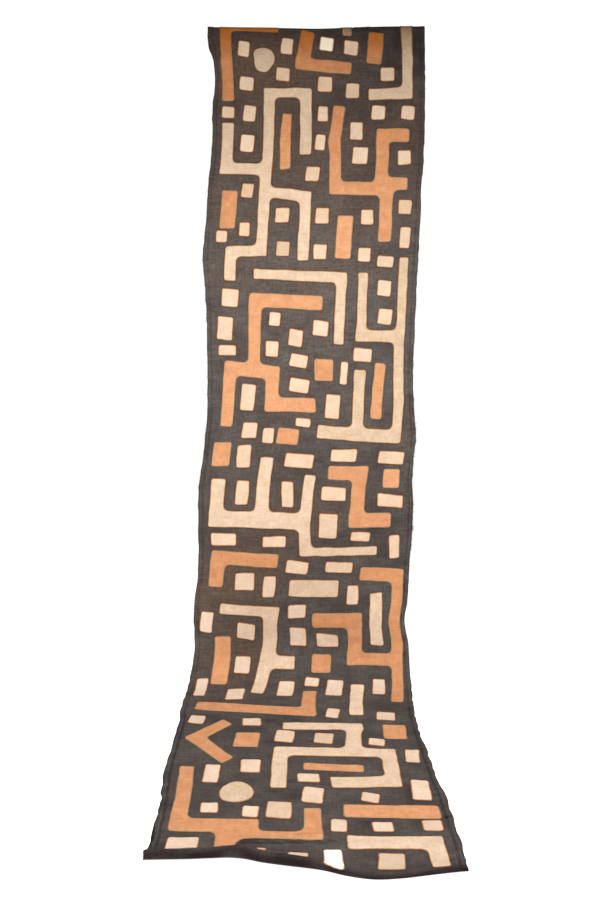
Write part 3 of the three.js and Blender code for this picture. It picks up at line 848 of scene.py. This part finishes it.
# %% [markdown]
# ## Raffia as a material
# Raffia thread is a flat strip of palm leaf, neither spun nor shiny, and no two strips take the dye
# alike. Up close the eye sees a plain weave; from a step away it sees the strips as light and dark
# streaks along both directions. The shader works in the flat cloth's UV map, in metres: noise that
# is drawn out along each thread direction gives the streaks, and two crossed sines the weave. One
# function builds that shared pattern, and each finish then adds its own colours.

# %% Helpers for materials
def linear(hex_colour):
    """Linear RGBA from an sRGB hex value."""
    shares = [int(hex_colour[k:k + 2], 16) / 255 for k in (1, 3, 5)]
    return [x / 12.92 if x <= 0.04045 else ((x + 0.055) / 1.055) ** 2.4 for x in shares] + [1]


def add_node(tree, kind, inputs=None, **settings):
    """A node with its settings, and its inputs set to values or linked to sockets."""
    node = tree.nodes.new(kind)
    for name, value in settings.items():
        setattr(node, name, value)
    for name, value in (inputs or {}).items():
        if isinstance(value, bpy.types.NodeSocket):
            tree.links.new(value, node.inputs[name])
        else:
            node.inputs[name].default_value = value
    return node


def new_material(name):
    """A material without nodes, and its tree."""
    material = bpy.data.materials.new(name)
    material.use_nodes = True
    material.node_tree.nodes.clear()
    return material, material.node_tree


print("middle grey in linear light:", [round(share, 3) for share in linear("#808080")])

# %% Threads of a plain weave
STRIP = 5  # mm; single strips are about 1 mm wide, and a few from the same leaf lie side by side
STRIP_RUNS = (38, 45)  # mm before a streak down the cloth changes, and one across it
GRAIN = 9  # mm, size of the specks that uneven dye leaves
WEAVE = 2.6  # mm for two threads; a real one is about 1.5 mm, too fine to show
ACROSS_SHARE = 0.55  # of the streaks, how much comes from the threads across the cloth
GRAIN_SHARE = 0.35  # how much of the streaks the specks take over
WEAVE_SHARE = 0.25  # height of the weave beside that of the streaks
STREAK_LOW, STREAK_HIGH = 0.3, 0.7  # nearly all values of the streaks lie between these


def threads(tree, strip=STRIP, weave=WEAVE):
    """Streaks along both thread directions, about 0.5 on average, and the height of the weave."""
    flat = add_node(tree, "ShaderNodeUVMap", uv_map="flat_cloth").outputs["UV"]
    down, across = STRIP_RUNS
    layers = []
    for sizes in ((strip, down), (across, strip), (GRAIN, GRAIN)):
        drawn = add_node(tree, "ShaderNodeMapping", {
            "Vector": flat, "Scale": (1 / (sizes[0] * MM), 1 / (sizes[1] * MM), 1)})
        noise = add_node(tree, "ShaderNodeTexNoise", {
            "Vector": drawn.outputs["Vector"], "Scale": 1.0, "Detail": 2.5, "Roughness": 0.6})
        layers.append(noise.outputs["Fac"])
    crossed = add_node(tree, "ShaderNodeMix", {0: ACROSS_SHARE, 2: layers[0], 3: layers[1]}).outputs[0]
    both = add_node(tree, "ShaderNodeMix", {0: GRAIN_SHARE, 2: crossed, 3: layers[2]}).outputs[0]
    angle = add_node(tree, "ShaderNodeVectorMath", {0: flat, 1: [2 * math.pi / (weave * MM)] * 3},
                     operation="MULTIPLY")
    parts = add_node(tree, "ShaderNodeSeparateXYZ", {0: angle.outputs[0]})
    over = add_node(tree, "ShaderNodeMath", {0: parts.outputs["X"]}, operation="SINE")
    under = add_node(tree, "ShaderNodeMath", {0: parts.outputs["Y"]}, operation="SINE")
    cross = add_node(tree, "ShaderNodeMath", {0: over.outputs[0], 1: under.outputs[0]},
                     operation="MULTIPLY")
    height = add_node(tree, "ShaderNodeMath", {0: cross.outputs[0], 1: WEAVE_SHARE, 2: both},
                      operation="MULTIPLY_ADD")
    return both, height.outputs[0]


def finish_raffia(tree, colour, height, roughness, relief_mm):
    """The dull, slightly silky surface that all raffia here shares."""
    bump = add_node(tree, "ShaderNodeBump", {
        "Height": height, "Strength": 0.6, "Distance": relief_mm * MM})
    surface = add_node(tree, "ShaderNodeBsdfPrincipled", {
        "Base Color": colour, "Roughness": roughness, "Specular IOR Level": 0.25, "IOR": 1.45,
        "Sheen Weight": 0.08, "Sheen Roughness": 0.5, "Normal": bump.outputs["Normal"]})
    add_node(tree, "ShaderNodeOutputMaterial", {"Surface": surface.outputs["BSDF"]})


print("the weave is drawn with", round(2 / (WEAVE * MM)), "threads to a metre")

# %% [markdown]
# ## The dark ground
# The ground was dyed with plant and mud dyes, which fade to a warm grey-brown where the cloth was
# handled. A curve down the cloth and a few soft spots say where it has lost its dye or turned
# brown. Round the front fold the curve drops to near black, and a few lines darken the tuck crease
# behind it: this is painted shade, where the roll and the crease lie out of the light. They are
# stored as numbers on the points, because a shader alone could not know where on the cloth it is.

# %% Dye of the ground
FADED_AND_SHADED = table(  # v, how far the ground has lost its dye; the last rows, which drop to 0 round the front fold, are painted shade
    (-100, 0), (30, 0), (100, 0.17), (190, 0.31), (320, 0.37), (500, 0.64), (700, 0.88), (900, 0.74),
    (1100, 0.74), (1375, 0.58), (1600, 0.56), (1800, 0.69), (2000, 0.47), (2250, 0.5), (2450, 0.42),
    (2600, 0.38), (2616, 0.2), (2628, 0.05), (2700, 0),
)
HEM_DARK = table((1800, 0.3), (1950, 0.3), (2150, 0.5), (2700, 0.5))  # v, how dark the hem's seam is
HEM_SEAM = 2.4  # half width of that dark line
FOLD_SHADE = table((2600, 0), (2618, 0), (2630, 0.22), (2700, 0.22))  # v, painted shade that takes the front roll and its underside to near black
DARK_LINES = (  # rows like those of the creases, last how dark the line is; the first two are painted shade in the tuck crease behind the front roll, the last two short dark marks by the side edges
    (295, 2551, -12, 350, 3.5, 0.45),
    (318, 2551, -8, 170, 2.2, 0.5),
    (12, 1404, 2, 40, 2.5, 0.5),
    (606, 2476, 10, 36, 2.5, 0.5),
)
MOTTLE = ((90, 60, 0.14, 21), (26, 150, 0.08, 22), (34, 20, 0.2, 24))  # sizes, strength, seed
BROWN_MOTTLE = (120, 80, 0.22, 23)  # the same for how brown the ground is
GROUND_CONTRAST = 0.55  # how much lighter and darker than the dye its streaks are
BROWN_SPOTS = (  # middle u, middle v, half width, half height, how brown
    (310, 380, 420, 320, 0.4),
    (130, 120, 150, 120, 0.7),
    (330, 110, 150, 80, 0.45),
    (200, 330, 160, 110, 0.35),
    (250, 730, 200, 60, 0.4),
    (330, 1080, 170, 90, 0.3),
    (110, 1610, 150, 120, 0.75),
    (120, 1860, 130, 140, 0.65),
    (290, 1440, 160, 90, 0.45),
    (360, 1745, 120, 110, -0.6),
    (470, 1560, 130, 120, -0.4),
    (300, 2250, 330, 280, -0.5),
)


def ground_dye(u, v):
    """How far the ground has lost its dye and how brown it is, with painted shade on the front roll and in
    the tuck crease.
    """
    faded_and_shaded = FADED_AND_SHADED(v)[0]
    for across, down, strength, seed in MOTTLE:
        faded_and_shaded = faded_and_shaded + strength * unevenness(u, v, across, down, seed)
    from_hem = np.minimum(u, WIDTH - u) - HEM
    faded_and_shaded = faded_and_shaded - HEM_DARK(v)[0] * np.exp(-((from_hem / HEM_SEAM) ** 2))
    # painted shade: the tuck crease lines and the front fold push the ground below 0, towards black
    faded_and_shaded = np.maximum(faded_and_shaded, 0) - sum(crease(u, v, *row) for row in DARK_LINES) - FOLD_SHADE(v)[0]
    across, down, strength, seed = BROWN_MOTTLE
    brown = strength * unevenness(u, v, across, down, seed)
    for middle_u, middle_v, half_width, half_height, strength in BROWN_SPOTS:
        brown = brown + strength * np.exp(-((u - middle_u) / half_width) ** 2
                                          - ((v - middle_v) / half_height) ** 2)
    return faded_and_shaded, brown


faded_and_shaded, brown = ground_dye(u, v)
# the first number carries painted shade on the front roll and in the tuck crease as well as the fading
for name, values in (("faded_and_shaded", faded_and_shaded), ("brown", brown)):
    attribute = ground.data.attributes.new(name, "FLOAT", "POINT")
    attribute.data.foreach_set("value", np.tile(values, 2).astype(np.float32))
print("ground dye: faded", faded_and_shaded.min().round(2), "to", faded_and_shaded.max().round(2))


# %% Raffia dyed dark
def raffia_dyed_dark():
    # Dull black-brown strips of leaf, streaked, with a grey bloom where the dye has rubbed off, and
    # painted shade, near black, on the front roll and in the tuck crease
    material, tree = new_material("raffia_dyed_dark")
    streaks, height = threads(tree)
    faded_and_shaded = add_node(tree, "ShaderNodeAttribute", attribute_name="faded_and_shaded").outputs["Fac"]
    brown = add_node(tree, "ShaderNodeAttribute", attribute_name="brown").outputs["Fac"]
    # the mix is not clamped, so values below 0 run past the dark end to near black: painted shade on the
    # front roll and in the tuck crease
    worn_and_shaded = add_node(tree, "ShaderNodeMix", {0: faded_and_shaded, 6: linear("#312826"), 7: linear("#5c5550")},
                    data_type="RGBA", clamp_factor=False).outputs[2]
    earthy = add_node(tree, "ShaderNodeMix", {0: brown, 6: worn_and_shaded, 7: linear("#5e4a3c")},
                      data_type="RGBA", clamp_factor=True).outputs[2]
    lightness = add_node(tree, "ShaderNodeMapRange", {
        0: streaks, 1: STREAK_LOW, 2: STREAK_HIGH, 3: 1 - GROUND_CONTRAST, 4: 1 + GROUND_CONTRAST})
    colour = add_node(tree, "ShaderNodeVectorMath", {0: earthy, 1: lightness.outputs[0]},
                      operation="MULTIPLY").outputs[0]
    finish_raffia(tree, colour, height, roughness=0.9, relief_mm=0.5)
    return material


ground.data.materials.append(raffia_dyed_dark())
print("ground:", ground.data.materials[0].name)

# %% [markdown]
# ## The light pieces
# Tan and cream are the leaf's own colour, washed or bleached; orange comes from a red wood dye. The
# strips show less in these, as soft lines a shade darker. Along each edge the fold and the thread
# have drawn dye in, so a rusty line runs round every piece, paler on the orange ones, just inside
# its edge. Just outside the edge a dark line is painted shadow, where the piece meets the ground.
# An image could hold such lines, but it would blur up close. The distance from the edge, which
# each point carries, places both at any size.

# %% Dye of the pieces
PIECE_STRIP, PIECE_WEAVE = 3.6, 2.3  # mm, finer than in the ground
STAIN = (0.6, 3.0, 0.95)  # mm in from the edge where the rusty line starts to fade and ends, strength
EDGE_SHADOW = (-1.0, 0.0, 1.0)  # the same for a dark line just outside the edge, painted shadow where the piece meets the ground
PATCH = 30  # mm, size of the patches where a piece took the dye differently
PATCH_RANGE = 2.0  # the patches run from 0 to this, and the dye shifts them as a whole


def raffia_piece(name, dark, light, soil_and_shade, stain, edge_shadow, contrast):
    # Dry leaf strips, nearly matt, in two shades of one dye, darkened in places by dirt and near the crest
    # by painted shade, with a stained edge and a painted shadow line just outside it
    material, tree = new_material(name)
    streaks, height = threads(tree, PIECE_STRIP, PIECE_WEAVE)
    dye, from_edge, soil_and_shade_amount = [
        add_node(tree, "ShaderNodeAttribute", attribute_name=number).outputs["Fac"]
        for number in ("dye", "from_edge", "soil_and_shade_amount")]
    flat = add_node(tree, "ShaderNodeUVMap", uv_map="flat_cloth").outputs["UV"]
    patches = add_node(tree, "ShaderNodeTexNoise", {
        "Vector": flat, "Scale": 1 / (PATCH * MM), "Detail": 3.0})
    uneven = add_node(tree, "ShaderNodeMath", {0: patches.outputs["Fac"], 1: PATCH_RANGE, 2: dye},
                      operation="MULTIPLY_ADD")
    shade = add_node(tree, "ShaderNodeMapRange", {0: uneven.outputs[0], 1: 0.0, 2: PATCH_RANGE})
    base = add_node(tree, "ShaderNodeMix", {0: shade.outputs[0], 6: linear(dark), 7: linear(light)},
                    data_type="RGBA").outputs[2]
    lightness = add_node(tree, "ShaderNodeMapRange", {
        0: streaks, 1: STREAK_LOW, 2: STREAK_HIGH, 3: 1 - contrast, 4: 1 + contrast})
    colour = add_node(tree, "ShaderNodeVectorMath", {0: base, 1: lightness.outputs[0]},
                      operation="MULTIPLY").outputs[0]
    # the rusty stain inside the edge, then the dark line just outside it, which is painted shadow
    for (full, end, strength), tint in ((STAIN, stain), (EDGE_SHADOW, edge_shadow)):
        line = add_node(tree, "ShaderNodeMapRange", {0: from_edge, 1: full, 2: end, 3: strength, 4: 0.0})
        colour = add_node(tree, "ShaderNodeMix", {0: line.outputs[0], 6: colour, 7: linear(tint)},
                          data_type="RGBA").outputs[2]
    # dirt and painted shade: this tint darkens the piece most near the crest, where the fold turns from
    # the light
    wash = add_node(tree, "ShaderNodeMix", {0: soil_and_shade_amount, 6: linear("#ffffff"), 7: linear(soil_and_shade)},
                    data_type="RGBA", clamp_factor=False).outputs[2]
    colour = add_node(tree, "ShaderNodeVectorMath", {0: colour, 1: wash}, operation="MULTIPLY").outputs[0]
    finish_raffia(tree, colour, height, roughness=0.85, relief_mm=0.35)
    return material


finishes = (  # piece, material, dark and light shade, what dirt and painted shade leave of it, stain, painted edge shadow, contrast
    (tan, "raffia_natural_tan", "#c8ab8a", "#eed2b8", "#9b8c72", "#94602f", "#402a1c", 0.2),
    (orange, "raffia_dyed_orange", "#be7f53", "#e5a77a", "#d4aa50", "#b88f64", "#66564a", 0.2),
    (cream, "raffia_washed_cream", "#d6b99f", "#f0d8c1", "#e8d4a8", "#a8683a", "#402a1c", 0.15),
    (white, "raffia_bleached_white", "#fff0d4", "#fffaf2", "#ffffff", "#b08050", "#402a1c", 0.05),
)
for piece, *finish in finishes:
    piece.data.materials.append(raffia_piece(*finish))
print("materials:", [piece.data.materials[0].name for piece in (tan, orange, cream, white)])

# %% [markdown]
# ## Stitches
# Each piece is held by slanted overcast stitches, in pale raffia thread round the orange pieces and
# in rust-coloured thread round the others, and each side hem by two lines of running stitches. There
# are thousands of them, all alike but for a little hand wobble, which is what Geometry Nodes are
# for: the script gives a point, a direction and an up for each stitch, and the tree bends one short
# thread and puts it on every point.

# %% The stitch tree
SMALLEST, LARGEST = 0.75, 1.2  # of the stitches, beside the size that is asked for


def stitch_tree():
    """A tree that puts a bent thread on every point, turned by the directions stored there."""
    tree = bpy.data.node_groups.new("stitches", "GeometryNodeTree")
    sockets = (("Points", "NodeSocketGeometry"), ("Length", "NodeSocketFloat"),
               ("Slant", "NodeSocketFloat"), ("Rise", "NodeSocketFloat"),
               ("Thread radius", "NodeSocketFloat"), ("Wobble", "NodeSocketFloat"),
               ("Seed", "NodeSocketInt"), ("Thread", "NodeSocketMaterial"))
    for name, kind in sockets:
        tree.interface.new_socket(name, in_out="INPUT", socket_type=kind)
    tree.interface.new_socket("Stitches", in_out="OUTPUT", socket_type="NodeSocketGeometry")
    sizes = add_node(tree, "NodeGroupInput").outputs
    ends = []
    for share in (-0.5, 0.5):
        x = add_node(tree, "ShaderNodeMath", {0: sizes["Slant"], 1: share}, operation="MULTIPLY")
        y = add_node(tree, "ShaderNodeMath", {0: sizes["Length"], 1: share}, operation="MULTIPLY")
        end = add_node(tree, "ShaderNodeCombineXYZ", {"X": x.outputs[0], "Y": y.outputs[0]})
        ends.append(end.outputs[0])
    top = add_node(tree, "ShaderNodeCombineXYZ", {"Z": sizes["Rise"]}).outputs[0]
    line = add_node(tree, "GeometryNodeCurveQuadraticBezier",
                    {"Resolution": 3, "Start": ends[0], "Middle": top, "End": ends[1]})
    round_section = add_node(tree, "GeometryNodeCurvePrimitiveCircle",
                             {"Resolution": 3, "Radius": sizes["Thread radius"]})
    thread = add_node(tree, "GeometryNodeCurveToMesh", {
        "Curve": line.outputs[0], "Profile Curve": round_section.outputs[0], "Fill Caps": True})
    along = add_node(tree, "GeometryNodeInputNamedAttribute", {"Name": "along"}, data_type="FLOAT_VECTOR")
    up = add_node(tree, "GeometryNodeInputNamedAttribute", {"Name": "up"}, data_type="FLOAT_VECTOR")
    axes = add_node(tree, "FunctionNodeAxesToRotation", {
        "Primary Axis": up.outputs[0], "Secondary Axis": along.outputs[0]},
        primary_axis="Z", secondary_axis="X")
    less = add_node(tree, "ShaderNodeMath", {0: sizes["Wobble"], 1: -1.0}, operation="MULTIPLY")
    low = add_node(tree, "ShaderNodeCombineXYZ", {"Z": less.outputs[0]})
    high = add_node(tree, "ShaderNodeCombineXYZ", {"Z": sizes["Wobble"]})
    twist = add_node(tree, "FunctionNodeRandomValue", {
        "Min": low.outputs[0], "Max": high.outputs[0], "Seed": sizes["Seed"]}, data_type="FLOAT_VECTOR")
    turned = add_node(tree, "FunctionNodeRotateRotation", {
        "Rotation": axes.outputs[0], "Rotate By": twist.outputs[0]}, rotation_space="LOCAL")
    scale = add_node(tree, "FunctionNodeRandomValue", {
        "Min": [SMALLEST] * 3, "Max": [LARGEST] * 3, "Seed": sizes["Seed"]}, data_type="FLOAT_VECTOR")
    placed = add_node(tree, "GeometryNodeInstanceOnPoints", {
        "Points": sizes["Points"], "Instance": thread.outputs[0], "Rotation": turned.outputs[0],
        "Scale": scale.outputs[0]})
    real = add_node(tree, "GeometryNodeRealizeInstances", {"Geometry": placed.outputs[0]})
    sewn = add_node(tree, "GeometryNodeSetMaterial", {
        "Geometry": real.outputs[0], "Material": sizes["Thread"]})
    add_node(tree, "NodeGroupOutput", {"Stitches": sewn.outputs[0]})
    return tree


STITCHES = stitch_tree()
print("stitch tree:", len(STITCHES.nodes), "nodes")

# %% Sewing
INPUTS = [item for item in STITCHES.interface.items_tree if item.in_out == "INPUT"]
SOCKETS = {item.name: item.identifier for item in INPUTS}


def sew(name, places, ahead, lift, **sizes):
    """Stitches as one plain mesh, from their places, the places a millimetre on and their lift."""
    points = on_face(*places, lift)
    holder = add_piece(name, points, [])
    along, up = on_face(*ahead, lift) - points, on_face(*places, lift + 1) - points
    for attribute, vectors in (("along", along), ("up", up)):
        stored = holder.data.attributes.new(attribute, "FLOAT_VECTOR", "POINT")
        stored.data.foreach_set("vector", np.asarray(vectors, np.float32).ravel())
    needle = holder.modifiers.new("stitches", "NODES")
    needle.node_group = STITCHES
    for size, value in sizes.items():
        needle[SOCKETS[size.replace("_", " ")]] = value
    evaluated = holder.evaluated_get(bpy.context.evaluated_depsgraph_get())
    mesh = bpy.data.meshes.new_from_object(evaluated)
    holder.modifiers.remove(needle)
    holder.data = mesh
    mesh.name = name
    mesh.shade_smooth()
    triangles = sum(len(face.vertices) - 2 for face in mesh.polygons)
    print(name, len(points), "stitches,", triangles, "triangles")
    return holder


print("inputs of the tree:", list(SOCKETS))

# %% Raffia thread
STRAND = 3  # mm, length of a light or dark stretch
STRAND_CONTRAST = 0.3


def raffia_thread(name, colour):
    # Twisted leaf fibre, dyed; dry, with lighter and darker strands along it
    material, tree = new_material(name)
    place = add_node(tree, "ShaderNodeTexCoord").outputs["Object"]
    fibre = add_node(tree, "ShaderNodeTexNoise", {
        "Vector": place, "Scale": 1 / (STRAND * MM), "Detail": 2.0})
    lightness = add_node(tree, "ShaderNodeMapRange", {
        0: fibre.outputs["Fac"], 1: STREAK_LOW, 2: STREAK_HIGH, 3: 1 - STRAND_CONTRAST,
        4: 1 + STRAND_CONTRAST})
    strands = add_node(tree, "ShaderNodeVectorMath", {0: linear(colour)[:3], 1: lightness.outputs[0]},
                       operation="MULTIPLY").outputs[0]
    finish_raffia(tree, strands, fibre.outputs["Fac"], roughness=0.85, relief_mm=0.2)
    return material


rust_thread = raffia_thread("raffia_thread_rust", "#6e4527")
pale_thread = raffia_thread("raffia_thread_pale", "#96826a")
dark_thread = raffia_thread("raffia_thread_dark", "#2b2422")
print("threads:", [thread.name for thread in (rust_thread, pale_thread, dark_thread)])

# %% Stitches round the pieces
OVERCAST_PITCH = 5.2  # mm between stitches round a piece
OVERCAST_LIFT = 0.5  # mm, about half the height of a piece


def overcast(name, edges, thread, seed):
    """Slanted stitches all along the outlines of pieces."""
    spots, ahead = [], []
    for edge in edges:
        stations = spread_evenly(edge, OVERCAST_PITCH)
        spots.append(stations)
        ahead.append(np.roll(stations, -1, axis=0) - np.roll(stations, 1, axis=0))
    spots, ahead = np.vstack(spots), np.vstack(ahead)
    ahead /= np.linalg.norm(ahead, axis=1, keepdims=True)
    (u, v), (ahead_u, ahead_v) = spots.T, (spots + ahead).T
    return sew(name, (u, ground_row(u, v)), (ahead_u, ground_row(ahead_u, ahead_v)), OVERCAST_LIFT,
               Length=3.6 * MM, Slant=1.8 * MM, Rise=1.5 * MM, Thread_radius=0.42 * MM, Wobble=0.25,
               Seed=seed, Thread=thread)


rust_stitches = overcast("overcast_stitches_rust", tan_edges + cream_edges + white_edges, rust_thread, 3)
pale_stitches = overcast("overcast_stitches_pale", orange_edges, pale_thread, 4)

# %% Hem stitches
HEM_LINES = (3.5, 11)  # mm from the side edge
HEM_PITCH = 8.5
HEM_FIRST = -TOP_ARC - TAIL + 10  # v of the first stitch
HEM_LAST = FRONT_FOLD - 8
HEM_LIFT = 0.15
hem_v = np.arange(HEM_FIRST, HEM_LAST, HEM_PITCH)
hem_u = np.concatenate([np.full(len(hem_v), x) for line in HEM_LINES for x in (line, WIDTH - line)])
hem_v = np.tile(hem_v, 2 * len(HEM_LINES))
hem_stitches = sew("hem_stitches", (hem_u, hem_v), (hem_u + 1, hem_v), HEM_LIFT,
                   Length=5.5 * MM, Slant=0.6 * MM, Rise=0.9 * MM, Thread_radius=0.45 * MM, Wobble=0.12,
                   Seed=5, Thread=dark_thread)

# %% [markdown]
# ## Frayed ends
# The side edges are worn, and here and there the end of a thread sticks out of them. Hair curves
# could do this too, but they would have to become a mesh for the export. The tree of the stitches
# already makes short threads, so it makes these as well: longer and thinner ones that lie across
# the edge and turn far more to either side.

# %% Let the edges fray
FRAYED = (  # edge, v where the frayed stretch starts and ends, how many ends stick out
    (WIDTH, 120, 1100, 40),
    (WIDTH, 1150, 1620, 70),
    (WIDTH, 1442, 1470, 18),
    (0, 100, 1900, 60),
)
chance = np.random.default_rng(9)
fray_u = np.concatenate([np.full(count, float(edge)) for edge, _, _, count in FRAYED])
fray_v = np.concatenate([chance.uniform(start, end, count) for _, start, end, count in FRAYED])
frayed = sew("frayed_ends", (fray_u, fray_v), (fray_u, fray_v + 1), 0,
             Length=9 * MM, Slant=2.5 * MM, Rise=0.8 * MM, Thread_radius=0.3 * MM, Wobble=0.8,
             Seed=6, Thread=dark_thread)

# %% [markdown]
# ## Studio
# The cloth hangs in a white room: a pale floor, a wide soft light in front that reaches the top of
# the hang least, a smaller one above for the part on the floor, and a faint even light from all
# round. A bright world alone would wash out the cloth, so the world is bright to the camera only,
# which keeps the background white.

# %% Floor
HALF_FLOOR = 7000  # mm
floor_corners = [(x * HALF_FLOOR, y * HALF_FLOOR, -DROP) for x, y in ((-1, -1), (1, -1), (1, 1), (-1, 1))]
floor = add_piece("studio_floor", floor_corners, [(0, 1, 2, 3)])
# Matt white paint, lit so evenly that it shows no edge against the background
paint, tree = new_material("floor_paint_white")
surface = add_node(tree, "ShaderNodeBsdfPrincipled", {
    "Base Color": linear("#f4f4f4"), "Roughness": 0.8, "Emission Color": linear("#ffffff"),
    "Emission Strength": 0.93})
add_node(tree, "ShaderNodeOutputMaterial", {"Surface": surface.outputs[0]})
floor.data.materials.append(paint)
print("floor:", 2 * HALF_FLOOR * MM, "m wide")


# %% Lights
def add_softbox(name, place, aim, width, height, watts, spread):
    """A rectangular light that looks at a place; its sizes are in metres and its spread in degrees."""
    light = bpy.data.lights.new(name, "AREA")
    light.shape = "RECTANGLE"
    light.size, light.size_y = width, height
    light.energy = watts
    light.spread = math.radians(spread)
    lamp = bpy.data.objects.new(name, light)
    lamp.location = place
    direction = np.array(aim) - place
    lamp.rotation_euler = (math.acos(-direction[2] / np.linalg.norm(direction)), 0,
                           math.atan2(direction[1], direction[0]) - math.pi / 2)
    bpy.context.scene.collection.objects.link(lamp)


add_softbox("front_softbox", place=(-0.05, -2.9, -1.05), aim=(-0.05, 0, -1.25),
            width=1.5, height=1.8, watts=8.9, spread=110)
add_softbox("top_softbox", place=(-0.05, -1.2, 0.7), aim=(-0.05, -0.5, -DROP * MM),
            width=1.2, height=0.8, watts=16, spread=80)

# %% World
WORLD_LIGHT, WORLD_SEEN = 0.11, 1.05  # strength of the world on the cloth, and to the camera
world = bpy.data.worlds.new("studio")
world.use_nodes = True
world.node_tree.nodes.clear()
rays = add_node(world.node_tree, "ShaderNodeLightPath")
strength = add_node(world.node_tree, "ShaderNodeMapRange", {
    0: rays.outputs["Is Camera Ray"], 3: WORLD_LIGHT, 4: WORLD_SEEN})
sky = add_node(world.node_tree, "ShaderNodeBackground",
               {"Color": linear("#ffffff"), "Strength": strength.outputs[0]})
add_node(world.node_tree, "ShaderNodeOutputWorld", {"Surface": sky.outputs[0]})
bpy.context.scene.world = world
bpy.context.scene.view_settings.view_transform = "Standard"
print("world:", world.name, "seen at", WORLD_SEEN, "and lighting at", WORLD_LIGHT)

# %% [markdown]
# ## Fitting the pieces to the frame
# Every piece rides on the one body that the cloth has, and stands for the plain solids that it
# refines.

# %% Ride and replace
replaced = {ground: "raffia_ground", tan: "tan_", orange: "orange_", cream: "cream_"}
for piece, start in replaced.items():
    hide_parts(*[name for name in frame["nodes"] if name.startswith(start)])
slots = {ground: "ground_raffia", tan: "tan_raffia", orange: "orange_raffia", cream: "cream_raffia",
         white: "cream_raffia", rust_stitches: "orange_raffia", pale_stitches: "cream_raffia",
         hem_stitches: "ground_raffia", frayed: "ground_raffia"}
for piece, slot in slots.items():
    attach(piece, "root")
print("on the body:", [piece.name for piece in slots])
